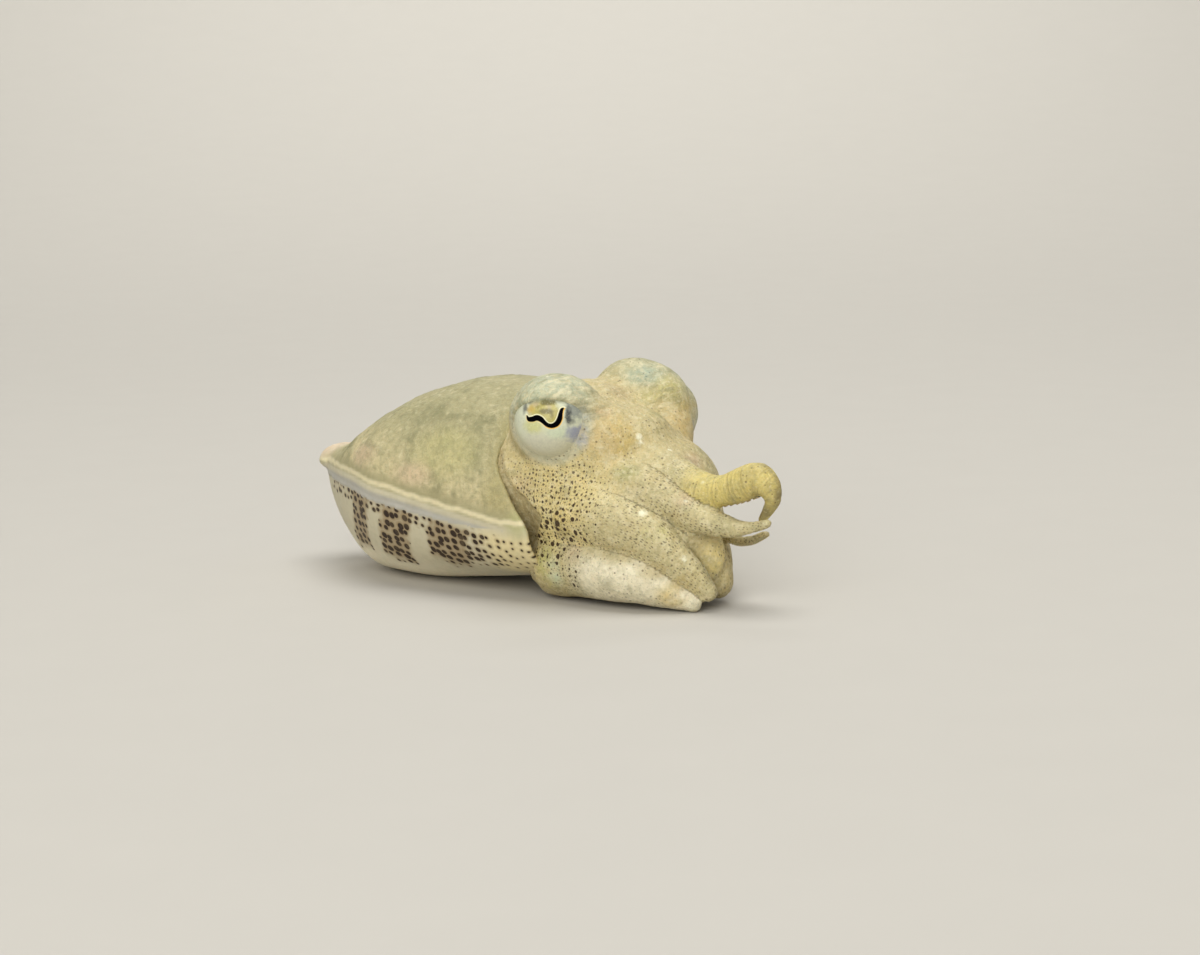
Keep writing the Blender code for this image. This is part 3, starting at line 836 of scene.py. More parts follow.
# %% Lay the mantle's colours
def fin_line(on):
    """The cream line along each fin's root: a little ruffled, and faint on the tail's lip."""
    ruffle = 0.1 * noise_field(on.points * np.array([1, 0, 0]), 0.9, 2, 6)
    line = bump_between(-0.05, 0.32, 0.12, on.above + ruffle) * (1 - on.fin)
    on_lip = step_between(8.1, 8.4, on.points[:, 2]) * (1 - step_between(-23.2, -22.0, on.x))
    return line * (1 - 0.8 * on_lip) * (on.outside > -0.6)


def mantle_coats(on):
    low_back = 1 - step_between(0.8, 5.0, on.above + 0.8 * on.coarse)
    smudged = step_between(-0.7, 0.2, on.coarse)
    return (
        # The belly's own pale colour, with painted bounce light from the floor on its lower part.
        (BELLY_AND_BOUNCE_LIGHT, 1.0, step_between(4.5, 7.5, on.depth)),
        (BAR_BROWN, 0.5, on.bars),
        (FLANK_WARM, 0.85, step_between(-3.0, -0.5, on.x) * bump_between(0.8, 4.6, 0.6, on.depth)),
        (KHAKI, 1.0, step_between(-0.3, 0.0, on.above)),
        (SAND, 0.85, on.back * low_back),
        (OLIVE, 0.7, on.back * step_between(0.05, 0.8, on.coarse + 0.35 * on.fine)),
        (CREAM, 0.3, on.back * step_between(0.3, 0.7, -on.fine - 0.3 * on.coarse)),
        *((OLIVE, 0.85, patch(on.points, *smudge, 0.2) * smudged) for smudge in BACK_SMUDGES),
        (OLIVE, 0.16, on.back * bump_between(-22.6, -17.6, 1.2, on.x)),
        (TAIL_PINK, 0.85, patch(on.points, *TAIL_PATCH, 0.15) * step_between(-0.1, 0.3, on.above)),
        (BACK_GOLD, 0.55, twin_patch(on.points, *GOLD_PATCH, 0.3)),
        *((PINK, 0.75, twin_patch(on.points, *pink, 0.2)) for pink in PINK_PATCHES),
        (RIM_OLIVE, 0.7, on.back * step_between(-2.4, -0.6, on.x)),
        (RIM_GREEN, 0.6, twin_patch(on.points, *RIM_PATCH, 0.2)),
        (FIN_PALE, 1.0, on.fin),
        (CREAM, 1.0, fin_line(on)),
    )


mantle_coat_list = mantle_coats(mantle_on)
write_vector(mantle_mesh, "tone", lay_coats(FLANK, mantle_coat_list))
print("coats of colour on the mantle:", len(mantle_coat_list))

# %% [markdown]
# The round dots on the flank are large in the bars, form a row along the fin, and get small and few
# towards the head. Each point of the mesh says how large a dot may be there, and where it lies on
# the flank when that is spread out flat.

# %% Places of the flank's dots
BAR_DOT, ROW_SHARE, FRONT_DOT = 0.22, 0.72, 0.19
DOT_TAPER = 0.55
DOT_SQUEEZE = 0.85                  # the dots stand further apart along the body


def dot_mantle(mesh, on):
    row = ROW_SHARE * bump_between(1.15, 2.2, 0.25, on.depth) * step_between(-22.5, -19.0, on.x)
    front = bump_between(0.9, 4.2, 0.5, on.depth) * step_between(-3.6, -2.6, on.slanted)
    radius = np.maximum(BAR_DOT * np.maximum(on.bars, row), FRONT_DOT * front)
    radius *= (1 - DOT_TAPER * step_between(-3.4, 1.2, on.x)) * (1 - on.fin)
    write_value(mesh, "dot_radius", radius)
    write_vector(mesh, "dot_place", flat_places(on.points, DOT_SQUEEZE * on.x, on.depth))
    write_value(mesh, "back", on.back)
    return radius


flank_dots = dot_mantle(mantle_mesh, mantle_on)
print("largest dot:", round(float(flank_dots.max()), 2), "mm in radius")

# %% [markdown]
# ## Where each point of the head lies
#
# The markings of an arm follow the arm. A UV map could guide them, but a melted skin has none. So
# each point near an arm gets two lengths, how far it is along the arm and how far round it, from
# the nearest place on the arms' middle lines.

# %% Places along the arms
ARM_NAMES = tuple(ARM_ROUTES)
ARM_PLACES = 60                     # places looked at along each arm
ARM_SEARCH = 3.5                    # and how far round it
FAR_AWAY = 99.0


def arm_places(points):
    """How close each point is to an arm, in radii, and by name which arm and where on it."""
    count = len(points)
    closeness = np.full(count, FAR_AWAY)
    found = {name: np.zeros(count) for name in ("arm", "share", "along", "round")}
    for number, name in enumerate(ARM_NAMES):
        middles, forwards, outwards, sideways = arm_frames(name, ARM_PLACES)
        lengths = lengths_along(middles[:, :3])
        low = middles[:, :3].min(axis=0) - ARM_SEARCH
        high = middles[:, :3].max(axis=0) + ARM_SEARCH
        near = np.flatnonzero(np.all((points > low) & (points < high), axis=1))
        gaps = points[near][:, None, :] - middles[None, :, :3]
        ratio = np.linalg.norm(gaps, axis=2) / middles[None, :, 3]
        nearest = ratio.argmin(axis=1)
        rows = np.arange(len(near))
        best = ratio[rows, nearest]
        gap = gaps[rows, nearest]
        out = np.einsum("ij,ij->i", gap, outwards[nearest])
        across = np.einsum("ij,ij->i", gap, sideways[nearest])
        ahead = np.einsum("ij,ij->i", gap, forwards[nearest])
        closer = best < closeness[near]
        chosen = near[closer]
        closeness[chosen] = best[closer]
        found["arm"][chosen] = number
        found["along"][chosen] = (lengths[nearest] + ahead)[closer]
        found["share"][chosen] = ((lengths[nearest] + ahead) / lengths[-1])[closer]
        found["round"][chosen] = (np.arctan2(across, out) * middles[nearest, 3])[closer]
    return closeness, found


# %% [markdown]
# ## Regions of the head
#
# As on the mantle, the places of the markings come first: the cheek with its sharp back edge over
# the neck, the pale ring below each eye, the free part of the arms, and the arms that have colours
# of their own.

# %% Head regions
# Where the cheek's back edge lies over the neck: (height, x).
CHEEK_EDGE = ((0.0, 1.0), (2.6, 1.5), (4.4, 1.5), (6.2, 2.9), (7.1, 2.0), (8.0, 0.5), (10.5, -0.8),
              (16.0, -2.0))
CHEEK_PATCH = ((4.0, 5.4, 6.8), (6.5, 4.4, 6.3))
LOW_ARMS = ("arm_right_4", "arm_left_4")
FAR_ARMS = ("arm_left_1", "arm_left_2", "arm_left_3")


def head_regions(mesh):
    """The places and masks of the head's points, by name."""
    points = read_points(mesh)
    x, y, z = points.T
    closeness, found = arm_places(points)
    on_arm = 1 - step_between(1.2, 1.45, closeness)

    def beyond(low, high, names=ARM_NAMES):
        """One past the second share of the length of the named arms, zero before the first."""
        numbers = [ARM_NAMES.index(name) for name in names]
        return np.isin(found["arm"], numbers) * on_arm * step_between(low, high, found["share"])

    ring = np.zeros(len(points))
    near_eye = np.full(len(points), FAR_AWAY)
    for eye, radius in EYES.values():
        reach = np.linalg.norm(points - np.array(eye), axis=1)
        ring = np.maximum(ring, (1 - step_between(0.2, 0.8, reach - radius)) * (z < eye.z + 0.5))
        near_eye = np.minimum(near_eye, reach)
    before_edge = x - smooth_value(CHEEK_EDGE, 1, z)
    low_arm = beyond(0.3, 0.5, LOW_ARMS)
    return SimpleNamespace(
        points=points, x=x, y=y, z=z, found=found, ring=ring, near_eye=near_eye,
        coarse=noise_field(points, 1.4, 3, 3), fine=noise_field(points, 0.42, 3, 4),
        cheek=twin_patch(points, *CHEEK_PATCH, 0.4), before_edge=before_edge,
        cheek_front=step_between(-0.1, 0.35, before_edge), free=beyond(0.12, 0.4),
        bare=beyond(0.3, 0.6), low_arm=low_arm, pale=low_arm * (1 - step_between(3.1, 4.6, z)),
        golden=beyond(0.3, 0.5, ("arm_right_1",)), hook=beyond(0.66, 0.9, ("arm_right_1",)),
        far=beyond(0.4, 0.6, FAR_ARMS))


head_on = head_regions(head_mesh)
print("share of the head's points on free arms:", round(float(head_on.free.mean()), 2))

# %% [markdown]
# The cheek rises a little over the neck behind it, in a fold with a sharp back edge, and the rest
# of the head and the arms has a faint uneven grain.

# %% Head relief
CHEEK_RISE = 0.28
HEAD_UNEVENNESS, HEAD_GRAIN = 0.03, 0.022


def carve_head(mesh, on):
    lift = CHEEK_RISE * on.cheek_front * (1 - step_between(1.0, 4.0, on.before_edge))
    lift *= step_between(3.0, 4.5, np.abs(on.y)) * (1 - step_between(9.0, 11.0, on.z))
    push_out(mesh, lift + HEAD_UNEVENNESS * on.coarse + HEAD_GRAIN * on.fine)


carve_head(head_mesh, head_on)
print("the cheek rises", CHEEK_RISE, "mm over the neck")

# %% [markdown]
# ## Colours of the head and arms
#
# The cheek is warm beige and thickly dotted, the lids are pale and streaked, the top of the head is
# greenish, and the arms are cream with fine short speckles and a few bright white spots. The
# raised arm is golden. The neck sits in the mantle's shade, which is painted on it as dull brown,
# and it has no dots.

# %% Head colours
HEAD_BEIGE = (0.52, 0.43, 0.21)
CHEEK_BEIGE = (0.70, 0.57, 0.245)
ARM_CREAM = (0.53, 0.455, 0.235)
LID_PALE = (0.415, 0.435, 0.29)
HEAD_GREEN = (0.37, 0.375, 0.235)
EYE_RING = (0.55, 0.545, 0.40)
# Painted shade: dull brown for the neck where the mantle's rim shades it.
NECK_SHADE_BROWN = (0.38, 0.30, 0.145)
WARM = (0.62, 0.44, 0.18)
PALE_ARM = (0.80, 0.73, 0.52)
GOLD = (0.60, 0.49, 0.16)
ARM_BROWN = (0.47, 0.38, 0.18)
# Khaki of the far arms' block, made brighter as painted light where the near arms shade it.
BLOCK_KHAKI_LIT = (0.88, 0.71, 0.27)
BUMP_GREEN = (0.32, 0.385, 0.28)
HOOK_BROWN = (0.20, 0.15, 0.06)
OLIVE_GREEN = (0.27, 0.28, 0.105)
PALE_GREEN = (0.55, 0.60, 0.39)
YELLOW_GREEN = (0.47, 0.44, 0.14)
AMBER = (0.62, 0.46, 0.15)
ROSE = (0.50, 0.34, 0.22)
RING_LILAC = (0.38, 0.385, 0.42)
RING_SLATE = (0.40, 0.41, 0.345)
# Shades on the skin close ahead of each eye: (colour, strength, place from the eye, radii).
EYE_SHADES = ((RING_LILAC, 0.7, (2.6, 0.0, -1.1), (0.6, 1.1, 1.2)),
              (RING_SLATE, 0.7, (2.6, 0.0, 0.4), (0.55, 1.1, 1.1)))
# Soft patches with a twin on the other side: (colour, strength, place, radii).
TWIN_PATCHES = (
    (AMBER, 0.7, (8.4, -3.8, 11.6), (1.2, 1.4, 2.7)),
    (AMBER, 0.6, (5.2, -7.0, 6.0), (1.4, 1.4, 2.3)),
    (OLIVE_GREEN, 0.6, (9.4, -4.7, 9.5), (1.5, 1.5, 1.0)),
    (YELLOW_GREEN, 0.8, (3.0, -6.3, 2.8), (1.5, 1.8, 2.9)),
    (PALE_GREEN, 0.85, (4.0, -6.4, 2.3), (1.2, 1.5, 1.4)),
    (ROSE, 0.35, (1.2, -6.7, 8.2), (1.8, 1.8, 1.5)),
    (ROSE, 0.4, (5.8, -6.4, 3.9), (1.1, 1.3, 1.2)),
    (ROSE, 0.45, (7.2, -4.4, 13.6), (1.1, 1.2, 0.7)),
    (ARM_BROWN, 0.7, (11.1, -3.6, 9.2), (1.4, 1.2, 0.7)),
    (ARM_BROWN, 0.8, (12.6, -3.0, 8.6), (1.2, 1.0, 0.7)),
    (ARM_BROWN, 0.7, (12.7, -3.8, 6.7), (1.5, 1.0, 0.6)),
    (ROSE, 0.45, (13.2, -3.2, 7.7), (1.2, 1.2, 0.8)),
    (YELLOW_GREEN, 0.5, (11.9, -5.0, 5.6), (2.4, 1.2, 0.8)),
    (OLIVE, 0.34, (10.8, -2.7, 10.1), (1.9, 1.5, 1.3)),
    (CREAM, 0.45, (10.3, -4.9, 8.2), (0.9, 0.8, 0.6)),
    (CREAM, 0.45, (13.8, -2.0, 9.1), (0.9, 0.9, 0.5)),
    (CREAM, 0.4, (11.4, -5.1, 6.6), (1.4, 0.9, 0.6)),
    (AMBER, 0.5, (13.9, -3.6, 2.3), (1.3, 1.3, 1.2)),
    (AMBER, 0.75, (12.9, -4.5, 1.2), (1.6, 1.5, 1.3)),
)
# Patches that stand alone.
LONE_PATCHES = (
    (ROSE, 0.55, (11.4, 0.4, 9.9), (1.5, 1.6, 1.0)),
    (ROSE, 0.5, (3.9, 0.6, 14.1), (1.9, 1.6, 1.0)),
    (OLIVE_GREEN, 0.25, (3.9, 0.6, 14.1), (1.9, 1.6, 1.0)),
    (OLIVE_GREEN, 0.35, (6.6, 4.4, 13.4), (1.2, 1.8, 0.9)),
    (AMBER, 0.6, (9.6, 2.2, 12.2), (1.5, 1.6, 1.7)),
    (AMBER, 0.6, (6.9, 5.4, 12.6), (1.3, 1.6, 1.5)),
    (BUMP_GREEN, 0.85, (4.6, 3.0, 15.2), (1.9, 2.1, 1.0)),
    (YELLOW_GREEN, 0.5, (6.1, 4.0, 14.4), (1.2, 2.0, 1.4)),
    (YELLOW_GREEN, 0.35, (5.5, 2.5, 13.8), (1.3, 1.5, 0.8)),
    (OLIVE_GREEN, 0.4, (8.0, 0.4, 13.0), (2.0, 1.8, 1.0)),
    # Painted light on the far arms' block, which lies in the near arms' shade.
    (BLOCK_KHAKI_LIT, 0.9, (13.7, -0.6, 2.8), (2.0, 2.3, 3.6)),
)
# Painted shade: brown along the lower side of the third arms, over the fourth: (place, radii).
SHADE_UNDER_THIRD_ARMS = (((9.7, 6.1, 4.1), (2.3, 1.5, 1.0)), ((12.0, 5.1, 3.0), (1.9, 1.4, 0.9)),
               ((13.4, 4.1, 2.1), (1.3, 1.3, 0.8)))
WARM_PATCH = ((7.4, 4.2, 11.6), (2.4, 2.6, 3.0))
GREEN_PATCH = ((3.0, 3.8, 15.5), (4.2, 3.0, 3.0))
HOOD_RADII = (3.8, 3.9, 3.8)
print("patches:", len(TWIN_PATCHES) + len(SHADE_UNDER_THIRD_ARMS), "with a twin,", len(LONE_PATCHES), "alone")

# %% [markdown]
# The coats again go on in order: cheek, lids and the rings round the eyes first, then the arms,
# the single patches, the golden arm, and the neck's painted shade last.

# %% Lay the head's colours
def eye_coats(on):
    """Pale lids, a pale ring below each ball and two shades close ahead of it."""
    coats = []
    for side, (eye, _) in EYES.items():
        hood = patch(on.points, eye + Vector((-0.5, -0.2 * side, 0.8)), HOOD_RADII, 0.7)
        coats.append((LID_PALE, 1.0, hood * step_between(12.0, 13.6, on.z)))
    coats += [(CHEEK_BEIGE, 0.85, on.cheek), (EYE_RING, 0.85, on.ring)]
    for eye, _ in EYES.values():
        for colour, strength, place, radii in EYE_SHADES:
            coats.append((colour, strength, patch(on.points, eye + Vector(place), radii, 0.3)))
    return coats


def head_coats(on):
    mottled = step_between(-0.9, 0.1, on.coarse + 0.4 * on.fine)
    # Painted shade of the mantle on the neck behind the cheek, fading out towards the top of the
    # head.
    neck_shade = (1 - on.cheek_front) * (1 - step_between(10.0, 12.5, on.z))
    return (
        (WARM, 0.5, twin_patch(on.points, *WARM_PATCH, 0.2)),
        *eye_coats(on),
        (HEAD_GREEN, 0.7, patch(on.points, *GREEN_PATCH, 0.3)),
        (ARM_CREAM, 1.0, on.free),
        (PALE_ARM, 1.0, on.pale),
        # Painted shade in the groove between the third and fourth arms.
        *((ARM_BROWN, 0.7, twin_patch(on.points, *side, 0.3)) for side in SHADE_UNDER_THIRD_ARMS),
        *((colour, strength, twin_patch(on.points, *at, 0.15) * mottled)
          for colour, strength, *at in TWIN_PATCHES),
        *((colour, strength, patch(on.points, *at, 0.15))
          for colour, strength, *at in LONE_PATCHES),
        (GOLD, 1.0, on.golden),
        (ARM_BROWN, 0.8, on.far),
        (HOOK_BROWN, 0.8, on.hook * step_between(-0.5, 0.6, on.coarse + 0.5 * on.fine)),
        (NECK_SHADE_BROWN, 0.9, neck_shade),
        (OLIVE, 0.35, step_between(0.15, 0.8, on.coarse)),
    )


head_coat_list = head_coats(head_on)
write_vector(head_mesh, "tone", lay_coats(HEAD_BEIGE, head_coat_list))
print("coats of colour on the head and arms:", len(head_coat_list))

# %% [markdown]
# The sharp markings of the head are drawn by the shader: dots on the cheek and in a column down the
# jowl, specks and wrinkles that follow each arm, streaks that fan out over the lids, and single
# white spots. Each of them gets its place and its strength as an attribute.

# %% Places of the head's markings
# White spots on the head and arms: (x, y, z, radius).
WHITE_SPOTS = (
    (9.0, -2.8, 11.7, 0.3), (9.15, -2.85, 11.4, 0.24), (10.5, -1.35, 10.7, 0.22),
    (13.4, -3.2, 7.6, 0.15), (11.1, -5.05, 6.85, 0.36), (13.8, -4.1, 3.85, 0.27),
    (14.1, -2.2, 8.85, 0.16), (13.6, -2.75, 5.3, 0.18), (3.5, 0.85, 14.2, 0.16),
    (3.1, -5.5, 15.9, 0.2), (10.2, 3.1, 10.4, 0.3), (11.0, 4.9, 5.6, 0.32),
)
COLUMN_PATCH = ((5.9, -6.2, 2.9), (0.95, 2.0, 2.8))
STREAKS_ROUND, STREAKS_OUT = 2.9, 0.3   # how fast the streaks' noise changes each way
PATTERN_STEP = 20.0                 # each arm takes another part of a pattern


def lid_streaks(points):
    """The angle round the nearer eye and the distance out from it, for streaks that fan out."""
    streaks = np.zeros((len(points), 3))
    for side, (eye, _) in EYES.items():
        chosen = points[:, 1] * side > 0
        gaps = points[chosen] - np.array(eye)
        turn = np.arctan2(gaps[:, 2], gaps[:, 0])
        streaks[chosen] = np.stack([turn * STREAKS_ROUND, np.abs(gaps[:, 1]) * STREAKS_OUT,
                                    np.full(len(gaps), side * 9.0)], 1)
    return streaks


def white_gap(points):
    """How far each point is from the edge of the nearest white spot."""
    gaps = [np.linalg.norm(points - np.array(spot[:3]), axis=1) - spot[3] for spot in WHITE_SPOTS]
    return np.minimum.reduce(gaps)


def mark_head(mesh, on):
    cheek = on.cheek * (1 - on.ring)
    column = 0.75 * patch(on.points, *COLUMN_PATCH, 0.6) * (1 - 0.6 * cheek)
    dotted = cheek * (1 - on.bare) * on.cheek_front * (1 - 0.8 * on.low_arm)
    values = {
        "cheek": np.maximum(dotted, column),
        "arm": on.free * (1 - 0.8 * on.low_arm) * (1 - 0.95 * on.golden),
        "golden": on.golden,
        "pale": on.pale,
        "white_gap": white_gap(on.points),
        "dot_grow": 1 - step_between(5.5, 10.0, on.z),
        "lid": (1 - step_between(3.6, 4.4, on.near_eye)) * step_between(12.2, 13.4, on.z),
    }
    for name, value in values.items():
        write_value(mesh, name, value)
    write_vector(mesh, "cheek_place", flat_places(on.points, on.x, on.z))
    write_vector(mesh, "lid_place", lid_streaks(on.points))
    write_vector(mesh, "arm_place", np.stack(
        [on.found["along"], on.found["round"], on.found["arm"] * PATTERN_STEP], 1))
    return values


markings = mark_head(head_mesh, head_on)
print("markings of the head:", ", ".join(markings))

# %% [markdown]
# ## The eyes
#
# A cuttlefish eye is a clear ball under the skin, with a golden iris and a pupil like a letter W.
# The pupil is drawn as a path on the ball, in millimetres ahead of and above the middle of the
# gaze, with half its width at each place. A painted image on the ball would blur close up.

# %% Pupil
GAZE = {"right": Vector((0.455, -0.885, 0.10)), "left": Vector((0.05, 0.985, 0.12))}
# Stations of the pupil's path: (ahead, above, half width).
PUPIL = ((-1.3, 0.33, 0.03), (-1.13, 0.05, 0.15), (-0.79, 0.04, 0.19), (-0.45, 0.13, 0.2),
         (-0.15, 0.03, 0.19), (0.08, -0.18, 0.15), (0.33, -0.38, 0.145), (0.65, -0.43, 0.165),
         (0.97, -0.27, 0.19), (1.16, 0.07, 0.185), (1.23, 0.42, 0.15), (1.31, 0.72, 0.115),
         (1.47, 0.84, 0.04))
PUPIL_STEPS = 12


def pupil_path():
    """The pupil's stations joined by a smooth curve."""
    stations = np.array(PUPIL)
    knots = np.arange(len(stations), dtype=float)
    places = np.linspace(0, knots[-1], PUPIL_STEPS * (len(stations) - 1) + 1)
    index = np.clip(places.astype(int), 0, len(stations) - 2)
    t = (places - index)[:, None]
    before = stations[np.maximum(index - 1, 0)]
    start, end = stations[index], stations[index + 1]
    after = stations[np.minimum(index + 2, len(stations) - 1)]
    square = 2 * before - 5 * start + 4 * end - after
    cube = 3 * start - before - 3 * end + after
    return 0.5 * (2 * start + (end - before) * t + square * t ** 2 + cube * t ** 3)


def eye_axes(word):
    gaze = GAZE[word].normalized()
    ahead = Vector((1, 0, 0)) - gaze * gaze.x
    ahead = (ahead - Vector((0, 0, 1)) * ahead.z).normalized()
    ahead = (ahead - gaze * ahead.dot(gaze)).normalized()
    above = ahead.cross(gaze) if gaze.y > 0 else gaze.cross(ahead)
    return gaze, ahead, above.normalized()


print("pupil:", round(lengths_along(pupil_path()[:, :2])[-1], 1), "mm along its bends")

# %% [markdown]
# The iris isn't one colour. It is grey at the outside, gold and olive round the pupil and nearly
# black beside it, so it is painted from soft ovals whose edges are broken by noise. A painted
# shadow darkens the ball under the lid's edge.

# %% Iris colours
EYE_GREY = (0.64, 0.655, 0.475)
EYE_LOW = (0.595, 0.58, 0.43)
IRIS_GOLD = (0.47, 0.41, 0.12)
IRIS_ORANGE = (0.52, 0.36, 0.09)
IRIS_PINK = (0.52, 0.42, 0.24)
IRIS_GLOW = (0.58, 0.57, 0.24)
IRIS_OLIVE = (0.15, 0.125, 0.028)
EYE_PALE = (0.60, 0.66, 0.46)
EYE_DARK = (0.07, 0.075, 0.07)
EYE_SLATE = (0.26, 0.275, 0.235)
EYE_LILAC = (0.31, 0.325, 0.41)
# Soft spots of colour on the ball: (colour, strength, middle, size, core, how ragged).
EYE_SPOTS = (
    (EYE_LOW, 1.0, (0.0, -2.6), (3.6, 2.3), 0.45, 0.0),
    (EYE_PALE, 0.85, (1.05, -0.95), (1.3, 0.75), 0.2, 0.2),
    (IRIS_GLOW, 0.9, (-0.75, -0.42), (1.25, 0.8), 0.25, 0.2),
    (EYE_LILAC, 0.95, (2.4, -1.15), (1.25, 1.0), 0.3, 0.3),
    (EYE_SLATE, 0.9, (2.3, 0.7), (1.15, 0.95), 0.35, 0.4),
    (IRIS_GOLD, 1.0, (-0.05, 0.72), (1.35, 0.85), 0.6, 0.15),
    (IRIS_GOLD, 1.0, (0.68, 0.2), (0.62, 0.7), 0.6, 0.1),
    (IRIS_ORANGE, 0.85, (-1.0, 0.75), (0.5, 0.5), 0.2, 0.2),
    (IRIS_PINK, 0.85, (-0.55, 1.12), (0.5, 0.3), 0.2, 0.2),
    (IRIS_OLIVE, 0.95, (0.25, 1.2), (0.8, 0.3), 0.45, 0.3),
    (IRIS_OLIVE, 0.9, (0.2, 0.58), (0.8, 0.26), 0.4, 0.35),
    (IRIS_OLIVE, 0.7, (-0.35, 0.9), (0.25, 0.3), 0.1, 0.4),
    (IRIS_PINK, 0.7, (0.42, 0.9), (0.4, 0.17), 0.2, 0.3),
    (IRIS_OLIVE, 0.8, (0.62, 0.3), (0.25, 0.35), 0.1, 0.2),
    (EYE_DARK, 0.8, (-1.5, 0.85), (0.36, 0.6), 0.3, 0.3),
    (EYE_DARK, 0.7, (-1.15, 1.25), (0.42, 0.2), 0.2, 0.3),
    (EYE_DARK, 1.0, (1.78, 0.28), (0.34, 0.9), 0.35, 0.3),
    (EYE_DARK, 0.6, (2.05, -0.2), (0.42, 0.4), 0.1, 0.4),
)
# Painted shadow: dark olive for the band of the ball just under the lid's edge.
LID_SHADOW = (0.16, 0.155, 0.07)


def soft_spot(ahead, above, place, size, core, ragged):
    """One in the core of an oval on the ball, fading to zero at its ragged edge."""
    reach = np.hypot((ahead - place[0]) / size[0], (above - place[1]) / size[1])
    return 1 - step_between(core, 1.0, reach + ragged)


print("spots of colour on the iris:", len(EYE_SPOTS))

# %% [markdown]
# Each point of the ball keeps its distance to the pupil's path, so the shader can cut a sharp edge
# that doesn't depend on the mesh. The points inside it sink a little, because it is an opening.

# %% Eyeballs
EYE_SEGMENTS, EYE_RINGS = 192, 96
PUPIL_DEPTH = 0.05


def make_eye(word):
    side = -1 if word == "right" else 1
    bm = bmesh.new()
    add_ellipsoid(bm, (0, 0, 0), (1, 1, 1), EYE_SEGMENTS, EYE_RINGS)
    mesh = to_mesh(bm, "eyeball_" + word)
    points = read_points(mesh)
    gaze, ahead_axis, above_axis = (np.array(axis) for axis in eye_axes(word))
    angle = np.arccos(np.clip(points @ gaze, -1, 1))
    flat = np.stack([points @ ahead_axis, points @ above_axis], 1)
    flat /= np.maximum(np.linalg.norm(flat, axis=1), 1e-9)[:, None]
    ahead, above = (flat * angle[:, None] * EYE_RADIUS).T
    path = pupil_path()
    gaps = np.hypot(ahead[:, None] - path[None, :, 0], above[:, None] - path[None, :, 1])
    gaps -= path[None, :, 2]
    nearest = gaps.argmin(axis=1)
    gap = gaps[np.arange(len(points)), nearest]
    ragged = noise_field(np.stack([ahead, above, np.full(len(ahead), side * 7.0)], 1), 0.34, 3, 8)
    # Painted shadow that the lid's edge casts on the top of the ball.
    shadow_under_lid = step_between(1.02, 1.3, above - 0.05 * ahead ** 2) * (np.abs(ahead + 0.2) < 2.4)
    write_vector(mesh, "tone", lay_coats(EYE_GREY, (
        *((colour, strength, soft_spot(ahead, above, place, size, core, raggedness * ragged))
          for colour, strength, place, size, core, raggedness in EYE_SPOTS),
        (LID_SHADOW, 0.55, shadow_under_lid))))
    write_value(mesh, "pupil_gap", gap)
    write_value(mesh, "over_pupil", above - path[nearest, 1])
    write_value(mesh, "warm_edge", 0.35 + 0.65 * step_between(-0.1, 0.35, ahead))
    depth = PUPIL_DEPTH * (1 - step_between(-0.06, 0.03, gap))
    write_points(mesh, np.array(EYES[side][0]) + points * (EYE_RADIUS - depth)[:, None])
    return mesh


eye_meshes = {word: make_eye(word) for word in ("right", "left")}
print("each eyeball:", len(eye_meshes["right"].polygons), "faces")

# %% [markdown]
# ## Suckers
#
# Each arm carries rows of small cups on its inner face. Every cup is a short ring with a hollow, of
# few faces because there are hundreds, set along the outer half of the arm and smaller towards the
# tip. They are one piece of their own: the remesher would swallow anything so small.

# %% Suckers
SUCKER_START, SUCKER_END = 0.5, 1.0
SUCKER_ROWS = (-0.36, -0.12, 0.12, 0.36)
SUCKER_SIZE = 0.13                  # of the arm's radius
SUCKER_SPACING, SUCKER_SINK = 1.35, 0.45    # of its own size
SUCKER_SPLAY = 0.6                  # how far the outer rows lean apart
SUCKER_SIDES = 8
SUCKER_FRAMES = 200                 # places along an arm that a cup may take
SUCKER_PROFILE = ((0.75, -0.5), (0.7, 0.35), (1.0, 0.7), (0.95, 0.95), (0.6, 0.9), (0.45, 0.45))


def add_sucker(bm, matrix):
    """A cup: the profile's rings are bridged, and the floor of the hollow is closed."""
    rings = []
    for radius, height in SUCKER_PROFILE:
        made = bmesh.ops.create_circle(bm, segments=SUCKER_SIDES, radius=radius,
                                       matrix=matrix @ Matrix.Translation((0, 0, height)))
        rings.append(list({edge for vertex in made["verts"] for edge in vertex.link_edges}))
    for first, second in zip(rings, rings[1:]):
        bmesh.ops.bridge_loops(bm, edges=first + second)
    bmesh.ops.edgeloop_fill(bm, edges=rings[0])
    bmesh.ops.edgeloop_fill(bm, edges=rings[-1])


def make_suckers():
    bm = bmesh.new()
    for name in ARM_NAMES:
        points, _, outwards, sideways = arm_frames(name, SUCKER_FRAMES)
        lengths = lengths_along(points[:, :3])
        place = SUCKER_START * lengths[-1]
        skipped = 0
        while place < SUCKER_END * lengths[-1]:
            index = min(int(np.searchsorted(lengths, place)), len(points) - 1)
            radius = points[index, 3]
            size = radius * SUCKER_SIZE
            inner = -outwards[index]
            for row in SUCKER_ROWS[skipped::2]:
                rise = math.sqrt(1 - (row / ARM_WIDENESS) ** 2) * ARM_INNER_FLATNESS
                normal = Vector(inner * rise + sideways[index] * row * SUCKER_SPLAY).normalized()
                spot = Vector(points[index, :3] + radius * (inner * rise + sideways[index] * row))
                turn = normal.to_track_quat("Z", "Y").to_matrix().to_4x4()
                add_sucker(bm, Matrix.Translation(spot - normal * size * SUCKER_SINK) @ turn
                           @ Matrix.Scale(size, 4))
            skipped = 1 - skipped
            place += size * SUCKER_SPACING
    return to_mesh(bm, "suckers")


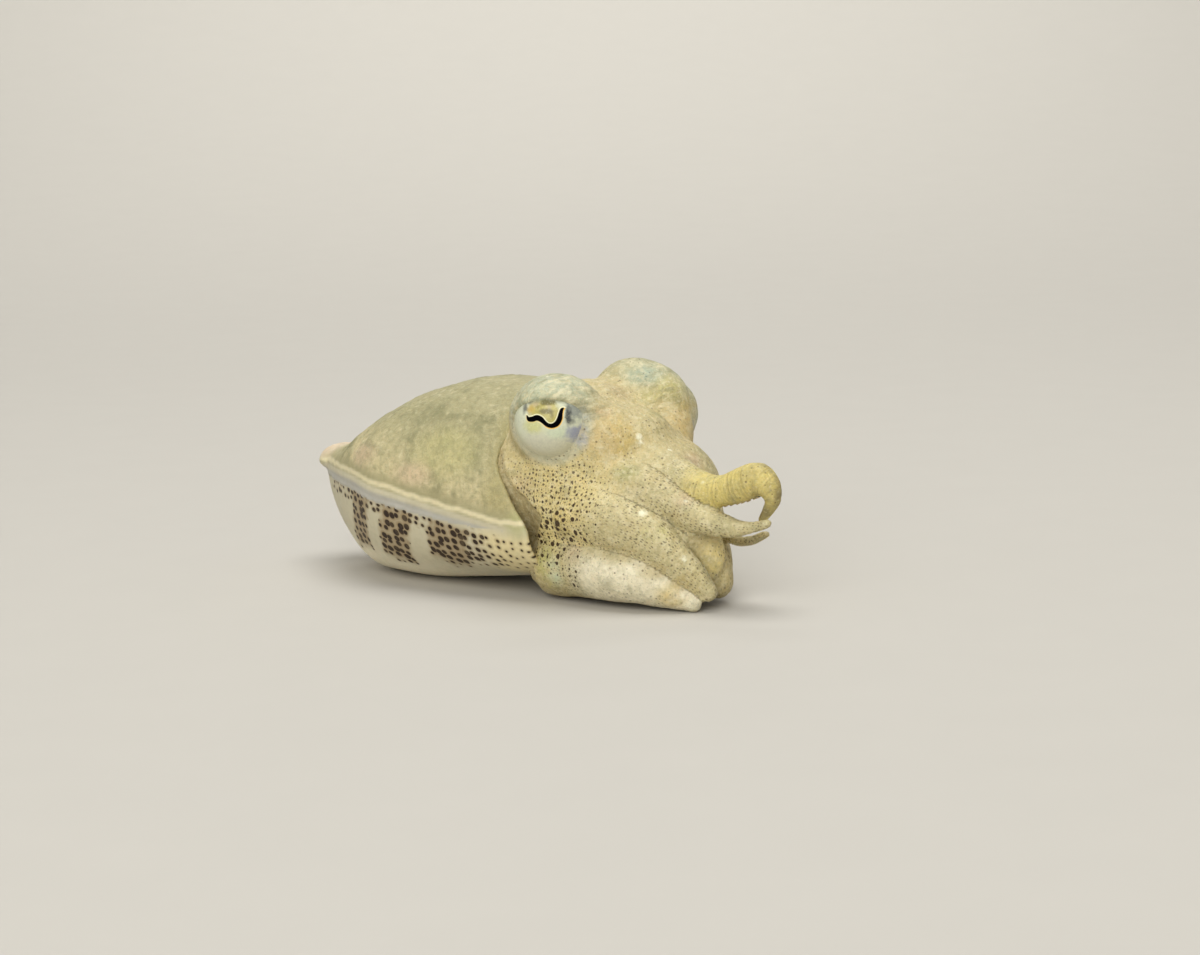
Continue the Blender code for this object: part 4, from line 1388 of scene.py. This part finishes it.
sucker_mesh = make_suckers()
print("suckers:", len(sucker_mesh.vertices) // (SUCKER_SIDES * len(SUCKER_PROFILE)))

# %% [markdown]
# The animal rests on a level floor, and flesh gives way to it. So the skin that reaches below the
# floor is pressed flat onto it, after all the sculpting is done. The suckers stay clear of it.

# %% Press the skin on the floor
def press_on_floor(mesh):
    """Flattens what is below the floor, and returns how many points lie on it."""
    points = read_points(mesh)
    points[:, 2] = np.maximum(points[:, 2], 0.0)
    write_points(mesh, points)
    return int((points[:, 2] == 0).sum())


for mesh in (mantle_mesh, head_mesh):
    resting = press_on_floor(mesh)
    print(mesh.name, "rests on", resting, "points")

# %% [markdown]
# ## Writing shaders as sums
#
# A material is a graph of nodes, which is slow to read and to write. Here one small class stands
# for a node's output, and arithmetic on it adds the Math nodes. Any other node comes from one call.

# %% Shader arithmetic
class Flow:
    """One output of a node in the material being made."""
    tree = None

    def __init__(self, socket):
        self.socket = socket

    @classmethod
    def node(cls, kind, settings=None, inputs=None, output=0):
        """Adds a node: its settings first, then its sockets' links or values."""
        made = cls.tree.nodes.new(kind)
        for name, value in (settings or {}).items():
            setattr(made, name, value)
        for key, value in (inputs or {}).items():
            if isinstance(value, Flow):
                cls.tree.links.new(value.socket, made.inputs[key])
            else:
                made.inputs[key].default_value = value
        return cls(made.outputs[output])

    @classmethod
    def math(cls, operation, first, second):
        return cls.node("ShaderNodeMath", {"operation": operation}, {0: first, 1: second})

    def __add__(self, other):
        return Flow.math("ADD", self, other)

    def __sub__(self, other):
        return Flow.math("SUBTRACT", self, other)

    def __rsub__(self, other):
        return Flow.math("SUBTRACT", other, self)

    def __mul__(self, other):
        return Flow.math("MULTIPLY", self, other)

    __radd__ = __add__
    __rmul__ = __mul__


# %% [markdown]
# A material starts from the plain shader, and its constants go straight on the shader's sockets. A
# few short helpers name the nodes that the finishes below are made of: attributes, mixed colours,
# soft steps, noise, round dots and a bump.

# %% Material helpers
def new_material(name, roughness=0.5, **sockets):
    """Starts a material, and returns its shader too, for what changes over the surface."""
    material = bpy.data.materials.new(name)
    material.use_nodes = True
    Flow.tree = material.node_tree
    shader = material.node_tree.nodes["Principled BSDF"]
    shader.inputs["Roughness"].default_value = roughness
    for key, value in sockets.items():
        shader.inputs[key.replace("_", " ")].default_value = value
    return material, shader


def feed(shader, key, flow):
    Flow.tree.links.new(flow.socket, shader.inputs[key])


def value_of(name):
    return Flow.node("ShaderNodeAttribute", {"attribute_name": name}, output="Fac")


def vector_of(name):
    return Flow.node("ShaderNodeAttribute", {"attribute_name": name}, output="Vector")


def mix(factor, first, second):
    return Flow.node("ShaderNodeMix", {"data_type": "RGBA"}, {0: factor, 6: first, 7: second},
                     output=2)


def rgb(colour):
    return (*colour, 1.0)


def soft_step(flow, low, high):
    """Zero below low and one above high. With low above high it runs the other way."""
    return Flow.node("ShaderNodeMapRange", {"interpolation_type": "SMOOTHSTEP"},
                     {"Value": flow, "From Min": low, "From Max": high})


def scaled(vector, scale):
    return Flow.node("ShaderNodeMapping", None, {"Vector": vector, "Scale": scale})


def millimetres():
    """Object coordinates, counted in millimetres."""
    place = Flow.node("ShaderNodeTexCoord", output="Object")
    return scaled(place, (1000, 1000, 1000))


def grain(place, per_mm, detail=3.0):
    return Flow.node("ShaderNodeTexNoise", None,
                     {"Vector": place, "Scale": per_mm, "Detail": detail})


def dots(place, spacing, radius, softness=0.05, flat=True, seed=0.0, jitter=0.62, spread=0.4):
    """Round dots on a jittered lattice. The radius may vary, and each dot has its own share."""
    moved = Flow.node("ShaderNodeMapping", None, {
        "Vector": place, "Location": (seed, seed, 0), "Scale": (1 / spacing,) * 3})
    cells = Flow.node("ShaderNodeTexVoronoi",
                      {"voronoi_dimensions": "2D" if flat else "3D"},
                      {"Vector": moved, "Scale": 1.0, "Randomness": jitter})
    share = Flow.node("ShaderNodeSeparateColor", None,
                      {"Color": Flow(cells.socket.node.outputs["Color"])})
    own = share * spread + (1 - spread / 2)
    gap = cells * spacing - radius * own
    return soft_step(gap, softness, -softness)


def raised(height, distance):
    return Flow.node("ShaderNodeBump", None,
                     {"Height": height, "Distance": distance, "Strength": 1.0}, output="Normal")


def coated(colour, *coats):
    """Lays coats over a colour in the shader: (mask, strength, tone)."""
    for mask, strength, tone in coats:
        colour = mix(mask * strength, colour, rgb(tone))
    return colour


def report(material):
    print(material.name, "material:", len(material.node_tree.nodes), "nodes")
    return material


# %% [markdown]
# ## Finish of the mantle
#
# Cuttlefish skin is matt and a little translucent, so both skins share a soft shader with a short
# scatter. On the back, three sizes of noise give olive specks, pale streaks and sandy grain, and
# they also feed the bump. Each dot of the flank is a dark core in a brown halo, drawn on a jittered
# lattice over the flattened flank. Dots made one by one as geometry would be far heavier.

# %% Mantle finish
SKIN = {"roughness": 0.55, "Subsurface_Weight": 0.12, "Subsurface_Scale": 0.0001,
        "Subsurface_Radius": (1.0, 0.6, 0.35), "Specular_IOR_Level": 0.28}
RELIEF = 0.0001                     # depth of the skin's finest bumps, in metres
SPOT_BROWN = (0.020, 0.009, 0.004)
SPOT_SPACING, SPOT_JITTER = 0.58, 0.58


def mantle_material():
    material, shader = new_material("mantle skin", **SKIN)
    place, back, radius = millimetres(), value_of("back"), value_of("dot_radius")
    speck, sand = grain(place, 2.2, 5.0), grain(place, 7.0, 2.0)
    streak = grain(scaled(place, (1.0, 1.0, 0.35)), 6.0, 2.0)
    spots = vector_of("dot_place")
    core = dots(spots, SPOT_SPACING, radius, 0.04, jitter=SPOT_JITTER)
    halo = dots(spots, SPOT_SPACING, radius * 1.5, 0.16, jitter=SPOT_JITTER)
    present = soft_step(radius, 0.04, 0.08)
    faded = soft_step(grain(place, 1.3, 2.0), 0.3, 0.55) * 0.2 + 0.78
    feed(shader, "Base Color", coated(
        vector_of("tone"),
        (soft_step(speck, 0.42, 0.68), back * 0.25 + 0.1, OLIVE),
        (soft_step(streak, 0.55, 0.75), back * 0.2, CREAM),
        (soft_step(sand, 0.56, 0.7), back * 0.22, OLIVE),
        (halo * present, 0.65, BAR_BROWN),
        (core * present, faded, SPOT_BROWN)))
    rough = (speck + streak * 0.5 + sand * 0.4) * (back * 0.8 + 0.2)
    feed(shader, "Normal", raised(rough, RELIEF))
    return report(material)


mantle_finish = mantle_material()

# %% [markdown]
# ## Finish of the head and arms
#
# The head's skin has the same grain, broken by creamy and brown blotches. Over it come the drawn
# markings: three sizes of dots on the cheek, fine freckles everywhere, specks that follow the arms,
# dark ribs round the raised arm, streaks on the lids and the white spots, whose edge is ragged.

# %% Head finish
DOT_BROWN = (0.036, 0.017, 0.006)
SPOT_WHITE = (0.85, 0.82, 0.6)


def cheek_dots():
    """Three sizes of dots, of which the largest grow towards the jowl."""
    place, cheek = vector_of("cheek_place"), value_of("cheek")
    present = soft_step(cheek, 0.12, 0.4)
    finest = dots(place, 0.2, 0.034 * cheek, 0.02, seed=7.0, spread=0.8)
    fine = dots(place, 0.36, 0.074 * cheek, 0.02, seed=3.0, spread=0.9)
    coarse = dots(place, 0.66, 0.15 * cheek * value_of("dot_grow"), 0.025, spread=0.8)
    return ((finest * present, 0.42, DOT_BROWN), (fine * present, 0.8, DOT_BROWN),
            (coarse * present, 0.95, DOT_BROWN))


def head_material():
    material, shader = new_material("head skin", **SKIN)
    place, arm, golden, lid = millimetres(), value_of("arm"), value_of("golden"), value_of("lid")
    along_arm = vector_of("arm_place")
    speck, sand, blotch = grain(place, 2.5, 5.0), grain(place, 7.0, 2.0), grain(place, 1.1, 4.0)
    mottled = 1 - golden * 0.8 - value_of("pale") * 0.6
    freckles = dots(place, 0.3, 0.058, 0.03, flat=False, spread=0.9)
    freckled = soft_step(grain(place, 0.8, 2.0), 0.35, 0.6) * (1 - lid * 0.7)
    specks = dots(scaled(along_arm, (0.6, 1.0, 1.0)), 0.21, 0.037, 0.03, spread=0.9)
    speckled = soft_step(grain(place, 0.9, 2.0), 0.36, 0.58) * arm
    ribs = grain(scaled(along_arm, (5.5, 0.35, 1.0)), 1.0, 2.0)
    wrinkles = grain(scaled(along_arm, (4.5, 0.5, 1.0)), 1.0, 2.0)
    streak = grain(vector_of("lid_place"), 2.2, 3.0)
    ragged = value_of("white_gap") + grain(place, 3.5, 3.0) * 0.5 - 0.25
    feed(shader, "Base Color", coated(
        vector_of("tone"),
        (soft_step(speck, 0.42, 0.7), 0.3, OLIVE),
        (soft_step(sand, 0.56, 0.7), 0.3, OLIVE),
        (soft_step(sand, 0.44, 0.3), 0.3, CREAM),
        (soft_step(grain(place, 5.0, 2.0), 0.55, 0.75) * mottled, 0.3, CREAM),
        (soft_step(blotch, 0.52, 0.66) * mottled, 0.35, ARM_BROWN),
        (soft_step(blotch, 0.47, 0.34) * mottled, 0.25, CREAM),
        (soft_step(grain(place, 2.4, 3.0), 0.5, 0.62) * mottled, 0.28, CREAM),
        (freckles * freckled, 0.62, DOT_BROWN),
        (specks * speckled, 0.65, DOT_BROWN),
        (soft_step(ribs, 0.52, 0.66) * golden, 0.28, HOOK_BROWN),
        (soft_step(streak, 0.52, 0.68) * lid, 0.5, OLIVE),
        (soft_step(streak, 0.46, 0.32) * lid, 0.5, CREAM),
        *cheek_dots(),
        (soft_step(ragged, 0.06, -0.26), 0.8, SPOT_WHITE)))
    folds = wrinkles * arm * 0.9 + ribs * golden * 1.1
    feed(shader, "Normal", raised(speck + sand * 0.4 + folds + streak * lid * 0.8, RELIEF))
    return report(material)


head_finish = head_material()

# %% [markdown]
# ## Finish of the eyes and suckers
#
# The ball is smoother than the skin and has a thin wet coat. A pale line runs along the upper edge
# of the pupil and an orange one along its lower edge. The pupil itself is an opening, so it gets a
# flat black shader of its own, and the two are mixed at a sharp edge. The suckers are small and
# plain, a soft mottled cream.

# %% Eye and sucker finishes
PUPIL_CREAM = (0.86, 0.83, 0.52)
PUPIL_ORANGE = (0.80, 0.47, 0.10)
PUPIL_BLACK = (0.002, 0.002, 0.003)
SUCKER_PALE, SUCKER_TAN = (0.6, 0.51, 0.3), (0.42, 0.34, 0.17)


def eye_material():
    material, shader = new_material("eyeball", 0.38, Coat_Weight=0.15, Coat_Roughness=0.15,
                                    Specular_IOR_Level=0.3)
    place, gap = millimetres(), value_of("pupil_gap")
    upper = soft_step(value_of("over_pupil"), -0.02, 0.05)
    feed(shader, "Base Color", coated(
        vector_of("tone"),
        (soft_step(grain(place, 5.0, 4.0), 0.42, 0.72), 0.16, EYE_SLATE),
        (soft_step(grain(place, 9.0, 3.0), 0.55, 0.72), 0.25, PUPIL_CREAM),
        (soft_step(gap, 0.1, 0.055), upper, PUPIL_CREAM),
        (soft_step(gap, 0.085, 0.04) * (1 - upper), value_of("warm_edge"), PUPIL_ORANGE)))
    black = Flow.node("ShaderNodeBsdfPrincipled", None, {
        "Base Color": rgb(PUPIL_BLACK), "Roughness": 1.0, "Specular IOR Level": 0.0})
    mixed = Flow.node("ShaderNodeMixShader", None, {
        0: soft_step(gap, 0.015, -0.015), 1: Flow(shader.outputs[0]), 2: black})
    Flow.tree.links.new(mixed.socket, Flow.tree.nodes["Material Output"].inputs["Surface"])
    return report(material)


def sucker_material():
    material, shader = new_material("sucker", 0.45, Subsurface_Weight=0.2,
                                    Subsurface_Scale=0.0005)
    feed(shader, "Base Color", mix(grain(millimetres(), 3.0), rgb(SUCKER_PALE), rgb(SUCKER_TAN)))
    return report(material)


eye_finish, sucker_finish = eye_material(), sucker_material()

# %% [markdown]
# ## Placing the pieces
#
# Each finished mesh becomes one piece. It is turned from millimetres into metres and moved to its
# place in the frame, all in the mesh itself, so its object stays at the origin. Then it is hung on
# the body it rides on and given its finish, and the plain solids it stands for are hidden.

# %% Place the pieces
FLESH_NODES = [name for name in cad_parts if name.startswith("arm_")] + ["head", "funnel"]
PIECES = (  # name, mesh, slot in the record, nodes that it replaces, finish
    ("mantle_skin", mantle_mesh, "mantle_skin", ("mantle", "fin_right", "fin_left"), mantle_finish),
    ("head_skin", head_mesh, "head_skin", FLESH_NODES, head_finish),
    ("eyeball_right", eye_meshes["right"], "eye", ("eye_right",), eye_finish),
    ("eyeball_left", eye_meshes["left"], "eye", ("eye_left",), eye_finish),
    ("suckers", sucker_mesh, "arm_skin", (), sucker_finish),
)


def place_piece(name, mesh, slot, replaced, finish):
    mesh.transform(Matrix.Translation((rim_x * MM, 0, 0)) @ Matrix.Scale(MM, 4))
    mesh.name = name
    mesh.materials.clear()
    mesh.materials.append(finish)
    for polygon in mesh.polygons:
        polygon.use_smooth = True
    piece = bpy.data.objects.new(name, mesh)
    bpy.context.scene.collection.objects.link(piece)
    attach(piece, "root")
    if replaced:
        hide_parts(*replaced)
    print(name, len(mesh.polygons), "faces")


for row in PIECES:
    place_piece(*row)

# %% [markdown]
# ## The stage
#
# The animal lies on a plain pale floor that curves up into a backdrop, so no edge shows behind it.

# %% Stage
STAGE_COLOUR, STAGE_SHADE = (0.51, 0.485, 0.43), 0.97
STAGE_HALF_WIDTH = 2.5
# Floor profile: (distance behind the animal, height), in metres.
SWEEP = ((-6.0, 0.0), (-1.2, 0.0), (-0.4, 0.0), (0.0, 0.0), (0.15, 0.0), (0.3, 0.0), (0.5, 0.02),
         (0.66, 0.09), (0.78, 0.22), (0.84, 0.4), (0.84, 1.4))
SWEEP_LEVELS = 3


def make_stage():
    bm = bmesh.new()
    row = [bmesh.ops.create_vert(bm, co=(-STAGE_HALF_WIDTH, *place))["vert"][0] for place in SWEEP]
    edges = [bm.edges.new(pair) for pair in zip(row, row[1:])]
    made = bmesh.ops.extrude_edge_only(bm, edges=edges)["geom"]
    moved = [item for item in made if isinstance(item, bmesh.types.BMVert)]
    bmesh.ops.translate(bm, verts=moved, vec=(2 * STAGE_HALF_WIDTH, 0, 0))
    bmesh.ops.rotate(bm, verts=bm.verts, cent=(0, 0, 0), matrix=Matrix.Rotation(BEARING, 3, "Z"))
    mesh = to_mesh(bm, "floor")
    for polygon in mesh.polygons:
        polygon.use_smooth = True
    floor = bpy.data.objects.new("floor", mesh)
    bpy.context.scene.collection.objects.link(floor)
    soften = floor.modifiers.new("soften", "SUBSURF")
    soften.levels = soften.render_levels = SWEEP_LEVELS
    material, shader = new_material("floor", 0.85)
    feed(shader, "Base Color", mix(grain(millimetres(), 0.15, 4.0), rgb(STAGE_COLOUR),
                                   rgb([c * STAGE_SHADE for c in STAGE_COLOUR])))
    mesh.materials.append(report(material))


make_stage()

# %% [markdown]
# One wide soft lamp hangs above and a little behind, a second fills from the front, a third lights
# the backdrop, and the pale surroundings soften the rest.

# %% Lights
SKY_STRENGTH = 0.39
LAMPS = (  # name, place, what it aims at, size, power
    ("key", (0.02, 0.02, 0.42), (0.0, 0.0, 0.0), 0.3, 1.2),
    ("front", (0.22, -0.42, 0.26), (0.0, 0.0, 0.0), 0.4, 1.9),
    ("backdrop", (-0.3, 0.34, 0.5), (-0.5, 0.56, 0.1), 0.4, 2.2),
)


def make_lights():
    world = bpy.data.worlds.new("studio")
    bpy.context.scene.world = world
    world.use_nodes = True
    sky = world.node_tree.nodes["Background"]
    sky.inputs["Color"].default_value = (1.0, 1.0, 1.0, 1)
    sky.inputs["Strength"].default_value = SKY_STRENGTH
    for name, spot, aim, size, power in LAMPS:
        light = bpy.data.lights.new(name, "AREA")
        light.shape = "DISK"
        light.size = size
        light.energy = power
        lamp = bpy.data.objects.new(name, light)
        bpy.context.scene.collection.objects.link(lamp)
        lamp.location = spot
        away = Vector(spot) - Vector(aim)
        lamp.rotation_euler = away.to_track_quat("Z", "Y").to_euler()


make_lights()
bpy.context.scene.view_settings.view_transform = "Standard"
print("lamps:", len(LAMPS))
